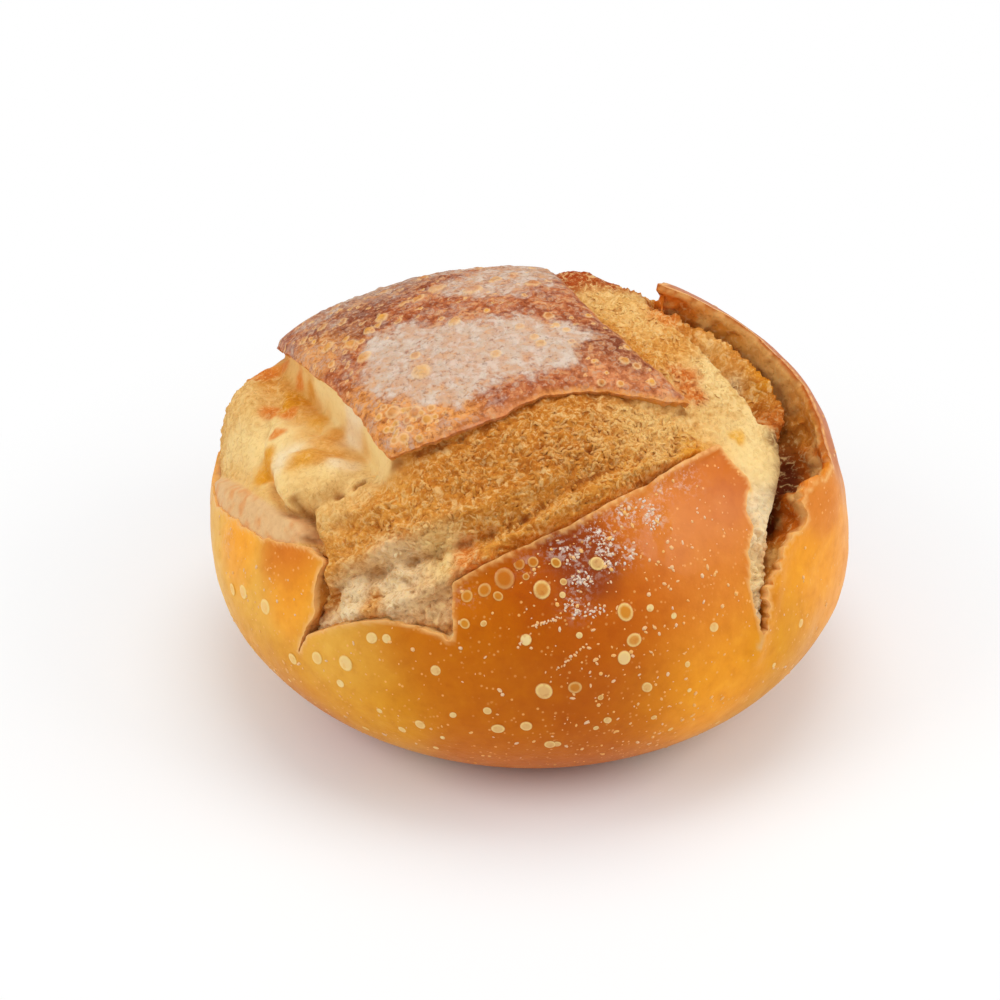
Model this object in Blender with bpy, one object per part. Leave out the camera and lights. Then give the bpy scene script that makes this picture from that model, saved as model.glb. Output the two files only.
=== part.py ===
"""A round sourdough loaf: a domed crust, scored by four cuts that cross round a raised cap and spread
into broad torn openings. It rests on the flat of its base, and its front is towards -Y."""

import math

import bmesh
import bpy
from mathutils import Vector, noise

# The baked dome, in metres
HALF_WIDTH = 0.105
HALF_DEPTH = 0.104
WIDEST_Z = 0.045
RISE = 0.080
UNDER = 0.060

# Depths and heights measured square to the dome, in metres
BLOOM_DEPTH = 0.0055
CREVICE_DEPTH = 0.011
LEFT_GAP_DEPTH = 0.009
LEFT_SHOULDER = 0.009
FRONT_SWELL = 0.0035
EAR_LIFT = 0.006
CAP_LIFT = 0.0015
CAP_CORNER_LIFT = 0.006
CRUST_WOBBLE = 0.0012
BLOOM_WOBBLE = 0.0016

CRUST_STEPS = (84, 44)
BLOOM_STEPS = (120, 66)

# A place on the dome is (x, y): the direction seen from above, with a length that is the angle from the
# top as a share of a right angle. So (0, 0) is the top, and a length of 1 is the widest ring.
EAR_REACH = 0.15
CAP_OUTLINE = (
    (-0.56, 0.24), (-0.53, 0.12), (-0.46, -0.02), (-0.39, -0.18), (-0.34, -0.30), (-0.285, -0.37),
    (-0.20, -0.35), (-0.10, -0.32), (0.01, -0.27), (0.12, -0.24), (0.22, -0.235), (0.31, -0.22),
    (0.27, -0.15), (0.215, -0.08), (0.165, 0.00), (0.12, 0.10), (0.08, 0.20), (0.04, 0.30),
    (-0.04, 0.35), (-0.13, 0.37), (-0.24, 0.36), (-0.35, 0.33), (-0.47, 0.29),
)
RIM_OUTLINE = (
    # the front panel, from the end of the front left cut to its tip
    (-0.63, -0.73), (-0.51, -0.70), (-0.41, -0.715), (-0.30, -0.73), (-0.19, -0.75), (-0.15, -0.68),
    (-0.03, -0.62), (0.09, -0.54), (0.21, -0.45), (0.31, -0.36), (0.38, -0.315),
    # down the front right cut and back up
    (0.44, -0.34), (0.47, -0.42), (0.49, -0.50), (0.53, -0.60), (0.60, -0.74), (0.59, -0.64),
    (0.575, -0.51), (0.62, -0.42), (0.60, -0.35), (0.63, -0.28), (0.645, -0.22),
    # the ear, to its tip
    (0.635, -0.15), (0.62, -0.10), (0.60, -0.05), (0.57, -0.01), (0.52, 0.03), (0.46, 0.065), (0.40, 0.095),
    (0.33, 0.12), (0.25, 0.13),
    # out along the back right cut, then the back panel to its tip
    (0.33, 0.25), (0.45, 0.40), (0.56, 0.53), (0.64, 0.67), (0.48, 0.66), (0.30, 0.62), (0.12, 0.58),
    (-0.08, 0.55), (-0.28, 0.51), (-0.50, 0.44),
    # out along the back left cut, then the left panel to its tip
    (-0.58, 0.51), (-0.66, 0.62), (-0.70, 0.50), (-0.79, 0.33), (-0.85, 0.16), (-0.87, 0.01),
    (-0.82, -0.17), (-0.66, -0.41), (-0.53, -0.49), (-0.46, -0.55), (-0.52, -0.60), (-0.55, -0.65),
)
EAR_RIM = ((0.25, 0.13), (0.40, 0.095), (0.52, 0.03), (0.60, -0.05), (0.63, -0.15), (0.64, -0.22))
EAR_FOOT = (
    (0.30, 0.13), (0.40, 0.05), (0.46, -0.02), (0.52, -0.09),
    (0.57, -0.19), (0.565, -0.34), (0.55, -0.50), (0.575, -0.66),
)
CAP_FOOT = ((-0.60, 0.34), (-0.60, 0.17), (-0.55, 0.03), (-0.48, -0.14), (-0.43, -0.27), (-0.38, -0.37))


def bump(place, centre, reach):
    """1 at the centre, fading smoothly to nothing past the reach."""
    return math.exp(-((Vector(place) - Vector(centre)).length / reach) ** 2)


def gap_to(place, line):
    """The distance from a place to a line of places."""
    here = Vector(place)
    nearest = math.inf
    for start, end in zip(line, line[1:]):
        along = Vector(end) - Vector(start)
        share = (here - Vector(start)).dot(along) / along.length_squared
        foot = Vector(start) + along * min(1, max(0, share))
        nearest = min(nearest, (here - foot).length)
    return nearest


def on_dome(place, out=0.0):
    """The point at a place, moved out square to the dome."""
    length = Vector(place).length
    angle = length * math.pi / 2
    turn = math.atan2(place[1], place[0])
    upright = RISE if angle <= math.pi / 2 else UNDER
    ring = math.sin(angle)
    way = Vector((ring * math.cos(turn), ring * math.sin(turn), math.cos(angle)))
    point = Vector((way.x * HALF_WIDTH, way.y * HALF_DEPTH, WIDEST_Z + way.z * upright))
    square = Vector((way.x / HALF_WIDTH, way.y / HALF_DEPTH, way.z / upright)).normalized()
    return point + square * out


def lumps(place, scale, seed):
    """Slow lumps between -1 and 1, the same on every run."""
    return noise.noise(Vector((place[0] * scale + seed, place[1] * scale, seed)))


def crust_out(place):
    low = max(0.0, 1.25 - Vector(place).length)
    wobble = CRUST_WOBBLE * lumps(place, 5, 3.1) * min(1, low * 3)
    return wobble + EAR_LIFT * math.exp(-((gap_to(place, EAR_RIM) / EAR_REACH) ** 2))


def bloom_out(place):
    out = -BLOOM_DEPTH + BLOOM_WOBBLE * lumps(place, 7, 8.7)
    out += FRONT_SWELL * bump(place, (0.05, -0.42), 0.20)
    out += LEFT_SHOULDER * bump(place, (-0.74, 0.14), 0.16)
    out -= LEFT_GAP_DEPTH * math.exp(-((gap_to(place, CAP_FOOT) / 0.09) ** 2))
    out -= CREVICE_DEPTH * math.exp(-((gap_to(place, EAR_FOOT) / 0.065) ** 2))
    # beyond the cuts the bloom stays under the crust
    return out - 0.010 * min(1, max(0.0, Vector(place).length - 0.88) * 5)


def cap_out(place):
    return CAP_LIFT + CAP_CORNER_LIFT * bump(place, (-0.58, 0.26), 0.28)


def make_object(name, bm, collection):
    bmesh.ops.recalc_face_normals(bm, faces=bm.faces)
    mesh = bpy.data.meshes.new(name)
    bm.to_mesh(mesh)
    bm.free()
    obj = bpy.data.objects.new(name, mesh)
    collection.objects.link(obj)
    return obj


def make_dome(name, steps, out_of, foot_z, collection):
    """A closed dome whose points stand out by out_of(place), with a flat foot. Steps are round and up."""
    bm = bmesh.new()
    bmesh.ops.create_uvsphere(bm, u_segments=steps[0], v_segments=steps[1], radius=1.0)
    for vert in bm.verts:
        angle = math.atan2(math.hypot(vert.co.x, vert.co.y), vert.co.z)
        turn = math.atan2(vert.co.y, vert.co.x)
        share = angle / (math.pi / 2)
        place = (share * math.cos(turn), share * math.sin(turn))
        vert.co = on_dome(place, out_of(place))
    everything = bm.verts[:] + bm.edges[:] + bm.faces[:]
    cut = bmesh.ops.bisect_plane(
        bm, geom=everything, plane_co=(0, 0, foot_z), plane_no=(0, 0, 1), clear_inner=True
    )
    edges = [item for item in cut["geom_cut"] if isinstance(item, bmesh.types.BMEdge)]
    bmesh.ops.contextual_create(bm, geom=edges)
    return make_object(name, bm, collection)


def make_plug(name, outline, collection):
    """A plug that widens as it rises through the dome, square to it along the outline."""
    centre = Vector((0, 0, WIDEST_Z))
    foot = [centre + (on_dome(place) - centre) * 0.30 for place in outline]
    inner = [on_dome(place, -0.040) for place in outline]
    outer = [on_dome(place, 0.020) for place in outline]
    for point in foot:
        point.z = WIDEST_Z - 0.008
    above = [Vector((point.x, point.y, 0.220)) for point in outer]
    bm = bmesh.new()
    rings = [[bm.verts.new(point) for point in ring] for ring in (foot, inner, outer, above)]
    for low, high in zip(rings, rings[1:]):
        for n in range(len(outline)):
            m = (n + 1) % len(outline)
            bm.faces.new((low[n], low[m], high[m], high[n]))
    bm.faces.new(rings[0])
    bm.faces.new(rings[-1])
    return make_object(name, bm, collection)


def join(obj, other, operation):
    step = obj.modifiers.new(other.name, "BOOLEAN")
    step.operation = operation
    step.solver = "EXACT"
    step.object = other


def main():
    for old in list(bpy.data.objects):
        bpy.data.objects.remove(old, do_unlink=True)
    loaf_set = bpy.data.collections.new("Sourdough loaf")
    shapes = bpy.data.collections.new("Loaf shapes")
    bpy.context.scene.collection.children.link(loaf_set)
    bpy.context.scene.collection.children.link(shapes)
    shapes.hide_render = True

    # the crust, opened along the cuts
    loaf = make_dome("loaf", CRUST_STEPS, crust_out, 0.0, loaf_set)
    opening = make_plug("opening", RIM_OUTLINE, shapes)
    join(loaf, opening, "DIFFERENCE")

    # the crumb that swelled through the cuts, from inside the crust
    bloom = make_dome("bloom", BLOOM_STEPS, bloom_out, 0.004, shapes)
    join(loaf, bloom, "UNION")

    # the square of crust that the cuts left in the middle
    cap = make_plug("cap", CAP_OUTLINE, shapes)
    cap_top = make_dome("cap_top", CRUST_STEPS, cap_out, 0.008, shapes)
    join(cap, cap_top, "INTERSECT")
    join(loaf, cap, "UNION")

    for helper in (opening, bloom, cap, cap_top):
        helper.hide_render = True
        helper.display_type = "WIRE"

    crust = bpy.data.materials.new("crust")
    crust.use_nodes = True
    surface = crust.node_tree.nodes["Principled BSDF"]
    surface.inputs["Base Color"].default_value = (0.46, 0.20, 0.06, 1.0)
    surface.inputs["Roughness"].default_value = 0.5
    loaf.data.materials.append(crust)


main()
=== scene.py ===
"""A round sourdough loaf: crust, swollen crumb, floured cap, blisters and flour, on a pale table."""

import contextlib
import itertools
import math

import bmesh
import bpy
import numpy as np
from bpy.props import FloatProperty, FloatVectorProperty, IntProperty, PointerProperty
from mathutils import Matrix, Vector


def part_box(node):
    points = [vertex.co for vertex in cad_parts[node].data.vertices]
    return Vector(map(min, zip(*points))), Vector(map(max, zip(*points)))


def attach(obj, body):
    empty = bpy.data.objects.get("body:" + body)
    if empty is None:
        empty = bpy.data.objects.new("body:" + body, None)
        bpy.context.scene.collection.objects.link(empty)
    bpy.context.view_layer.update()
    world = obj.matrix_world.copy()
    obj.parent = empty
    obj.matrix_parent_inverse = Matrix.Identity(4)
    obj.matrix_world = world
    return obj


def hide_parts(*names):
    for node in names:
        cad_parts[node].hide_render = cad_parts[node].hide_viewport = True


bl_info = {
    "name": "Sourdough loaf",
    "version": (1, 0, 0),
    "blender": (4, 5, 0),
    "location": "3D View > Sidebar > Loaf",
    "description": "Bakes a round scored loaf: crust, crumb, cap, blisters and flour",
    "category": "Add Mesh",
}

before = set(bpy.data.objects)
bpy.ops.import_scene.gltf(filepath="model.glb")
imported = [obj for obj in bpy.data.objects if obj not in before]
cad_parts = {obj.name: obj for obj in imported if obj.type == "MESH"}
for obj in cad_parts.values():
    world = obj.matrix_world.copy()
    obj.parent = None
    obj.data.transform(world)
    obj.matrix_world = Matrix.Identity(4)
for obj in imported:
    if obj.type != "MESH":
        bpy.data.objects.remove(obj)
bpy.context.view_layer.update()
LOW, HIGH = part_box("loaf")

# The baked dome: half its width and depth, the height of its widest ring, its rise and fall from there
HALF = ((HIGH[0] - LOW[0]) / 2, (HIGH[1] - LOW[1]) / 2)
WIDEST = 0.045
RISE = HIGH[2] - 0.0015 - WIDEST
UNDER = 0.060
UNIT = HALF[0] * math.pi / 2  # how far one unit of a place is along the crust

# A place on the loaf is (x, y): its direction seen from above, at a length that is the angle from the top
# as a share of a right angle. So (0, 0) is the top, and a length of 1 is the widest ring.
CAP = (
    (-0.585, 0.255), (-0.535, 0.12), (-0.462, -0.03), (-0.395, -0.15), (-0.345, -0.25), (-0.312, -0.33),
    (-0.285, -0.385), (-0.235, -0.375), (-0.178, -0.358), (-0.114, -0.336), (-0.052, -0.306),
    (0.011, -0.269), (0.07, -0.252), (0.132, -0.245), (0.195, -0.243), (0.261, -0.238), (0.312, -0.226),
    (0.252, -0.172), (0.203, -0.125), (0.167, -0.078), (0.128, -0.02), (0.092, 0.05), (0.062, 0.16),
    (0.04, 0.285), (-0.04, 0.35), (-0.13, 0.37), (-0.24, 0.36), (-0.35, 0.33), (-0.47, 0.29),
)
RIM = (
    (-0.67, -0.72), (-0.6, -0.69), (-0.51, -0.7), (-0.41, -0.71), (-0.35, -0.722), (-0.28, -0.75),
    (-0.198, -0.795), (-0.188, -0.745), (-0.18, -0.668), (-0.04, -0.61), (0.08, -0.55), (0.21, -0.46),
    (0.3, -0.375), (0.365, -0.318), (0.42, -0.35), (0.455, -0.37), (0.45, -0.42), (0.485, -0.47),
    (0.485, -0.53), (0.52, -0.6), (0.605, -0.735), (0.59, -0.64), (0.565, -0.58), (0.575, -0.51),
    (0.585, -0.45), (0.6, -0.4), (0.575, -0.345), (0.6, -0.29), (0.628, -0.235), (0.62, -0.165),
    (0.605, -0.115), (0.585, -0.065), (0.555, -0.02), (0.51, 0.02), (0.455, 0.055), (0.4, 0.08),
    (0.33, 0.1), (0.235, 0.105), (0.33, 0.25), (0.45, 0.4), (0.56, 0.53), (0.64, 0.67), (0.48, 0.66),
    (0.3, 0.62), (0.12, 0.58), (-0.08, 0.55), (-0.28, 0.51), (-0.5, 0.44), (-0.58, 0.51), (-0.66, 0.62),
    (-0.7, 0.5), (-0.79, 0.33), (-0.85, 0.16), (-0.87, 0.01), (-0.82, -0.17), (-0.74, -0.3),
    (-0.65, -0.41), (-0.53, -0.49), (-0.48, -0.55), (-0.53, -0.6), (-0.55, -0.655),
)
FRONT_RIM = (
    (-0.51, -0.7), (-0.36, -0.715), (-0.175, -0.665), (-0.04, -0.61), (0.08, -0.55), (0.21, -0.46),
    (0.365, -0.318),
)
TORN_SIDE = ((0.605, -0.735), (0.575, -0.51), (0.6, -0.4), (0.575, -0.345), (0.628, -0.235))
EAR_RIM = ((0.235, 0.105), (0.33, 0.1), (0.455, 0.055), (0.555, -0.02), (0.605, -0.115), (0.628, -0.235))
LEFT_RIM = ((-0.79, 0.33), (-0.87, 0.01), (-0.82, -0.17), (-0.65, -0.41), (-0.53, -0.49), (-0.48, -0.55))
CREST = (
    (0.21, 0.2), (0.235, 0.12), (0.285, 0.05), (0.335, 0.0), (0.37, -0.05), (0.405, -0.09), (0.45, -0.125),
    (0.48, -0.18), (0.528, -0.155), (0.54, -0.2), (0.548, -0.26), (0.54, -0.34), (0.53, -0.43),
    (0.555, -0.54), (0.6, -0.7),
)
CAP_LEFT = (
    (-0.585, 0.255), (-0.535, 0.12), (-0.465, -0.02), (-0.39, -0.18), (-0.345, -0.29), (-0.29, -0.372),
)
GROOVE = (
    (-0.53, -0.655), (-0.48, -0.62), (-0.41, -0.61), (-0.35, -0.61), (-0.25, -0.6), (-0.14, -0.58),
    (-0.02, -0.54), (0.05, -0.48), (0.1, -0.45), (0.17, -0.41),
)
FOLD_LIP = (
    (-0.47, -0.58), (-0.42, -0.57), (-0.33, -0.565), (-0.28, -0.55), (-0.2, -0.53), (-0.09, -0.51),
    (0.02, -0.455),
)
STRIP = ((-0.46, -0.685), (-0.37, -0.695), (-0.27, -0.685), (-0.17, -0.65), (-0.1, -0.625))
TEAR = ((-0.33, -0.728), (-0.26, -0.73), (-0.2, -0.735))
SECOND_LIP = ((-0.12, -0.605), (-0.03, -0.57), (0.12, -0.475), (0.21, -0.415), (0.34, -0.33))
LEFT_CRACK = ((-0.52, -0.38), (-0.52, -0.45), (-0.5, -0.54), (-0.54, -0.6), (-0.57, -0.64), (-0.66, -0.71))
LEFT_CREASE = ((-0.62, -0.24), (-0.59, -0.33), (-0.57, -0.38), (-0.53, -0.42))
PILLOW = (
    (-0.6, -0.24), (-0.55, -0.215), (-0.47, -0.24), (-0.405, -0.29), (-0.385, -0.34), (-0.42, -0.39),
    (-0.49, -0.41), (-0.545, -0.42), (-0.585, -0.34),
)
FACET = (
    (-0.87, 0.02), (-0.77, -0.13), (-0.67, -0.27), (-0.59, -0.37), (-0.53, -0.42), (-0.515, -0.48),
    (-0.6, -0.45), (-0.68, -0.385), (-0.76, -0.285), (-0.84, -0.17),
)
SHOULDER_FOLD = ((-0.6, 0.06), (-0.63, -0.04), (-0.66, -0.14), (-0.64, -0.22))
CAP_BACK = ((-0.4, 0.22), (-0.28, 0.31), (-0.13, 0.34), (0.02, 0.28))
FLOUR_MAIN = (
    (-0.375, -0.028), (-0.335, -0.1), (-0.33, -0.19), (-0.264, -0.248), (-0.176, -0.288), (-0.1, -0.272),
    (-0.026, -0.24), (0.048, -0.2), (0.105, -0.141), (0.11, -0.09), (0.06, -0.045), (-0.024, -0.03),
    (-0.118, -0.025), (-0.194, -0.03), (-0.265, -0.02), (-0.31, 0.0),
)
FLOUR_BACK = (
    (-0.21, 0.086), (-0.2, 0.14), (-0.122, 0.21), (-0.042, 0.28), (0.04, 0.3), (0.055, 0.1),
    (-0.023, 0.045), (-0.099, 0.04),
)
SLITS = ((-0.51, -0.41), (-0.47, -0.4), (-0.45, -0.4), (-0.41, -0.4), (-0.38, -0.38), (-0.35, -0.36))
SLIT_RIGHT = ((0.285, -0.3), (0.29, -0.34), (0.265, -0.375))


def linear(red, green, blue):
    """A colour from 0 to 255 as the light it stands for."""
    return tuple(
        round(v / 12.92 if v <= 0.04045 else ((v + 0.055) / 1.055) ** 2.4, 4)
        for v in (red / 255, green / 255, blue / 255)
    )


# ---------------------------------------------------------------- places, points and noise


def rows(points):
    return np.asarray(points, float)


def bell(places, centre, reach):
    """1 at the centre, fading smoothly to nothing past the reach."""
    return np.exp(-(((places - rows(centre)) ** 2).sum(1)) / reach**2)


def nearest_on(places, line, closed=False):
    """Each place's distance to a line of places, and the line's nearest point to it."""
    line = rows(line)
    ends = np.roll(line, -1, 0) if closed else line[1:]
    best = np.full(len(places), np.inf)
    found = np.array(places)
    for start, end in zip(line, ends):
        along = end - start
        share = np.clip((places - start) @ along / max(along @ along, 1e-12), 0, 1)
        foot = start + share[:, None] * along
        gap = np.hypot(*(places - foot).T)
        closer = gap < best
        best[closer], found[closer] = gap[closer], foot[closer]
    return best, found


def gap_to(places, line, closed=False):
    return nearest_on(places, line, closed)[0]


def near(places, line, reach):
    """1 on the line, fading smoothly to nothing past the reach."""
    return np.exp(-((gap_to(places, line) / reach) ** 2))


def beyond(places, outline):
    """Each place's distance to a closed outline, below zero inside it."""
    outline = rows(outline)
    inside = np.zeros(len(places), bool)
    x, y = places.T
    for (ax, ay), (bx, by) in zip(outline, np.roll(outline, -1, 0)):
        if ay != by:
            inside ^= ((ay > y) != (by > y)) & (x < (bx - ax) * (y - ay) / (by - ay) + ax)
    gap = gap_to(places, outline, closed=True)
    return np.where(inside, -gap, gap)


def ease(value, start, end):
    """0 before start, 1 after end, smooth between."""
    share = np.clip((value - start) / (end - start), 0, 1)
    return share * share * (3 - 2 * share)


def on_loaf(places, out=0.0):
    """The points at these places, moved out square to the dome."""
    x, y = places.T
    angle = np.hypot(x, y) * math.pi / 2
    turn = np.arctan2(y, x)
    upright = np.where(angle <= math.pi / 2, RISE, UNDER)
    way = np.stack([np.sin(angle) * np.cos(turn), np.sin(angle) * np.sin(turn), np.cos(angle)], 1)
    size = np.stack([np.full(len(x), HALF[0]), np.full(len(x), HALF[1]), upright], 1)
    square = way / size
    square /= np.linalg.norm(square, axis=1)[:, None]
    return way * size + (0, 0, WIDEST) + square * np.broadcast_to(out, len(x))[:, None]


def blended(first, second, share):
    """The first colours where the share is 0 and the second where it is 1, for each place."""
    return first * (1 - share[:, None]) + rows(second) * share[:, None]


def places_towards(way):
    """The places that directions from the middle of the widest ring point to."""
    angle = np.arctan2(np.hypot(way[:, 0], way[:, 1]), way[:, 2]) / (math.pi / 2)
    turn = np.arctan2(way[:, 1], way[:, 0])
    return np.stack([angle * np.cos(turn), angle * np.sin(turn)], 1)


def place_of(points):
    """The places of points on the loaf, and how far each stands out from the dome, nearly."""
    x, y, z = (points - (0, 0, WIDEST)).T
    upright = np.where(z >= 0, RISE, UNDER)
    q = np.stack([x / HALF[0], y / HALF[1], z / upright], 1)
    length = np.linalg.norm(q, axis=1)
    reach = np.linalg.norm(points - (0, 0, WIDEST), axis=1)
    return places_towards(q), (length - 1) * reach / np.maximum(length, 1e-9)


def ripple(points, size, seed=0):
    """Smooth noise, about -1 to 1, that varies over that size in metres."""
    p = points / size + seed * 7.31
    cell = np.floor(p).astype(np.int64)
    part = p - cell
    fade = part**3 * (part * (part * 6 - 15) + 10)
    total = np.zeros(len(p))
    for corner in itertools.product((0, 1), repeat=3):
        spot = cell + corner
        code = spot[:, 0] * 73856093 ^ spot[:, 1] * 19349663 ^ spot[:, 2] * 83492791 ^ (seed * 6542989 + 97)
        code = ((code ^ (code >> 13)) * 1274126177) & 0x7FFFFFFF
        code ^= code >> 15
        lean = np.stack([(code & 1023), (code >> 8) & 1023, (code >> 18) & 1023], 1) / 511.5 - 1
        weight = np.prod(np.where(corner, fade, 1 - fade), axis=1)
        total += weight * ((part - corner) * lean).sum(1)
    return total * 1.5


def ripples(points, size, seed, count=3):
    """That many separate noises side by side, to push points about with."""
    return np.stack([ripple(points, size, seed + n) for n in range(count)], 1)


def billow(points, size, seed=0):
    """Noise of round lumps with sharp seams between them, from 0 at a seam to about 1."""
    return np.clip(np.abs(ripple(points, size, seed)) * 1.8, 0, 1)


def warped(points, size, amount, seed=0):
    """The points pushed about by noise, so that what reads them swirls."""
    return points + amount * ripples(points, size, seed + 1)


# ---------------------------------------------------------------- the loaf's surfaces


def ear_share(places):
    """How strongly the ear pulls the crust up there."""
    return near(places, EAR_RIM, 0.15)


def crust_out(places):
    """How far the crust stands out from the dome."""
    points = on_loaf(places)
    low = np.clip((1.30 - np.hypot(*places.T)) * 4, 0, 1)
    out = 0.0011 * ripple(points, 0.034, 4) + 0.0004 * ripple(points, 0.011, 5)
    out += 0.0070 * ear_share(places)
    out += 0.0045 * bell(places, (-0.78, 0.12), 0.22)
    curl = near(places, TORN_SIDE, 0.03)
    out += 0.0014 * curl + 0.0015 * near(places, FRONT_RIM, 0.014)
    return out * low


def cap_out(places):
    """How far the cap stands out from the dome."""
    points = on_loaf(places)
    out = 0.0015 + 0.0062 * bell(places, (-0.58, 0.26), 0.26) + 0.0016 * bell(places, (-0.30, -0.36), 0.10)
    out += 0.0008 * ripple(points, 0.028, 11)
    return out


# Ridges and furrows of the crumb: their line, half width as places, and rise
FOLDS = (
    (FOLD_LIP, 0.02, 0.0024), (SECOND_LIP, 0.013, 0.0022), (STRIP, 0.02, 0.0046), (TEAR, 0.035, 0.0022),
    (FRONT_RIM[2:], 0.01, -0.0022), (LEFT_CREASE, 0.012, -0.0034), (SHOULDER_FOLD, 0.022, -0.002),
    (SLIT_RIGHT, 0.006, -0.0018),
    (((-0.6, 0.16), (-0.615, 0.06), (-0.575, -0.05), (-0.5, -0.15)), 0.02, -0.0022),
    (((-0.5, -0.16), (-0.44, -0.2), (-0.38, -0.29)), 0.016, -0.0012),
    (((-0.46, -0.44), (-0.38, -0.46), (-0.3, -0.47)), 0.014, 0.0012),
    (((-0.44, -0.48), (-0.33, -0.52)), 0.012, -0.001),
    (((0.13, -0.3), (0.17, -0.36), (0.14, -0.42)), 0.007, -0.001),
    (((0.2, -0.29), (0.235, -0.34), (0.21, -0.38)), 0.007, -0.001),
    (((0.05, -0.32), (0.09, -0.38), (0.07, -0.44)), 0.008, -0.0009),
    (((0.33, -0.25), (0.35, -0.29), (0.33, -0.32)), 0.006, -0.0008),
)


def ear_depth(places):
    """How far the crevice beside the crest has opened, from 0 at the ear's tip to 1 down the right side."""
    return ease(-places[:, 1], 0.02, 0.20)


def past_crest(places):
    """How far a place lies past the crest, on the ear's side."""
    return -beyond(places, CREST + ((0.80, -0.80), (0.95, 0.10), (0.60, 0.50)))


def crumb_out(places):
    """How far the swollen crumb stands out from the dome, without its fine relief."""
    points = on_loaf(places)
    out_of_cap = beyond(places, CAP)
    out = -0.0042 + 0.0010 * ripple(points, 0.030, 21)
    out += 0.0038 * bell(places, (0.08, -0.40), 0.20) + 0.0020 * bell(places, (-0.24, -0.48), 0.14)
    out += 0.0040 * bell(places, (-0.65, 0.25), 0.09) + 0.0105 * bell(places, (-0.70, 0.13), 0.15)
    out += 0.0020 * bell(places, (-0.60, -0.30), 0.12)
    out += 0.0060 * bell(places, (0.10, 0.21), 0.075) + 0.0026 * bell(places, (0.19, 0.12), 0.06)
    # the open side of the crest falls into the crevice, and climbs again behind the ear
    deep = ear_depth(places)
    drop = ease(past_crest(places), 0.0, 0.045)
    crumbly = 0.0012 * ripple(points, 0.008, 23) + 0.0007 * ripple(points, 0.0035, 24)
    out += 0.0022 * near(places, CREST, 0.05) - drop * (0.0075 + 0.0100 * deep - crumbly)
    out += drop * (1 - 0.75 * deep) * 0.0100 * near(places, EAR_RIM, 0.035)
    # the left side lies low beside the cap, which stands on a smooth wall
    low_left = near(places, CAP_LEFT, 0.085) * ease(out_of_cap, -0.002, 0.05)
    low_left *= ease(places[:, 1] - 0.35 * places[:, 0], -0.42, -0.16)
    low_left *= 1 - 0.80 * bell(places, (-0.60, 0.20), 0.13)
    out -= 0.0095 * low_left
    # under the cap
    under = ease(-out_of_cap, -0.004, 0.012)
    out = out * (1 - under) + (cap_out(places) - 0.0030) * under
    # folds, cracks, grooves and lips
    for line, reach, rise in FOLDS:
        out += rise * near(places, line, reach)
    out += 0.0036 * ease(-beyond(places, PILLOW), -0.006, 0.030)
    break_up = np.clip(0.75 + 0.9 * ripple(points, 0.006, 25), 0, 1.5)
    out -= 0.0060 * near(places, GROOVE, 0.020) * break_up * (1 - 0.65 * ease(places[:, 0], -0.35, 0.15))
    out -= 0.0070 * near(places, LEFT_CRACK, 0.018) * break_up
    out -= 0.0026 * near(places, SLITS, 0.007) * np.clip(1.8 * ripple(points, 0.0045, 26) + 0.5, 0, 1)
    # the facet along the left rim lies flush with the crust, and elsewhere the crumb meets it from below
    facet = ease(-beyond(places, FACET), -0.010, 0.016)
    out = out * (1 - facet) + (crust_out(places) - 0.0006) * facet
    out += 0.0022 * near(places, LEFT_RIM, 0.07) * (1 - facet)
    return out - 0.0035 * ease(beyond(places, RIM), 0.0, 0.03)


def crumb_relief(places, points):
    """The torn crumb's grain, strands and folds."""
    soft = bell(places, (-0.62, -0.12), 0.28) + near(places, CAP_LEFT, 0.07)
    soft += ease(-beyond(places, PILLOW), -0.03, 0.0)
    soft += 0.6 * bell(places, (0.45, -0.30), 0.10) + 0.7 * bell(places, (0.10, 0.22), 0.09)
    soft = np.clip(soft + 0.7 * near(places, CREST[5:13], 0.035), 0, 1)
    facet = ease(-beyond(places, FACET), -0.016, 0.004)
    torn = (1 - 0.85 * soft) * (1 - facet)
    swirl = warped(points, 0.010, 0.0030, 31)
    strands = billow(swirl * (1.0, 1.0, 1.7), 0.0042, 34)
    grain = billow(warped(points, 0.004, 0.0012, 36), 0.0024, 37)
    fine = ripple(points, 0.0013, 38)
    folds = billow(warped(points, 0.026, 0.010, 41), 0.022, 44)
    out = torn * (0.0013 * (strands - 0.4) + 0.0009 * (grain - 0.4) + 0.00026 * fine)
    out += soft * (0.0010 * (folds - 0.5) + 0.00025 * ripple(points, 0.004, 45)) * (1 - facet)
    pits = np.clip(ripple(points, 0.0052, 47) - 0.50, 0, 1) * torn
    return out - 0.0026 * pits + 0.00012 * facet * ripple(points, 0.003, 46)


# ---------------------------------------------------------------- meshes


def start_piece():
    """Leaves edit mode and lets go of everything, so that an operator acts only on what is made next."""
    if bpy.context.object and bpy.context.object.mode != "OBJECT":
        bpy.ops.object.mode_set(mode="OBJECT")
    bpy.ops.object.select_all(action="DESELECT")


def points_of(mesh):
    points = np.empty(len(mesh.vertices) * 3)
    mesh.vertices.foreach_get("co", points)
    return points.reshape(-1, 3)


def set_points(mesh, points):
    mesh.vertices.foreach_set("co", np.ascontiguousarray(points, float).ravel())
    mesh.update()


@contextlib.contextmanager
def editing(mesh):
    """The mesh opened for editing, and written back at the end."""
    work = bmesh.new()
    work.from_mesh(mesh)
    yield work
    work.to_mesh(mesh)
    work.free()


def new_object(name, points, faces):
    mesh = bpy.data.meshes.new(name)
    mesh.from_pydata(points.tolist(), [], faces)
    obj = bpy.data.objects.new(name, mesh)
    bpy.context.scene.collection.objects.link(obj)
    return obj


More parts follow.
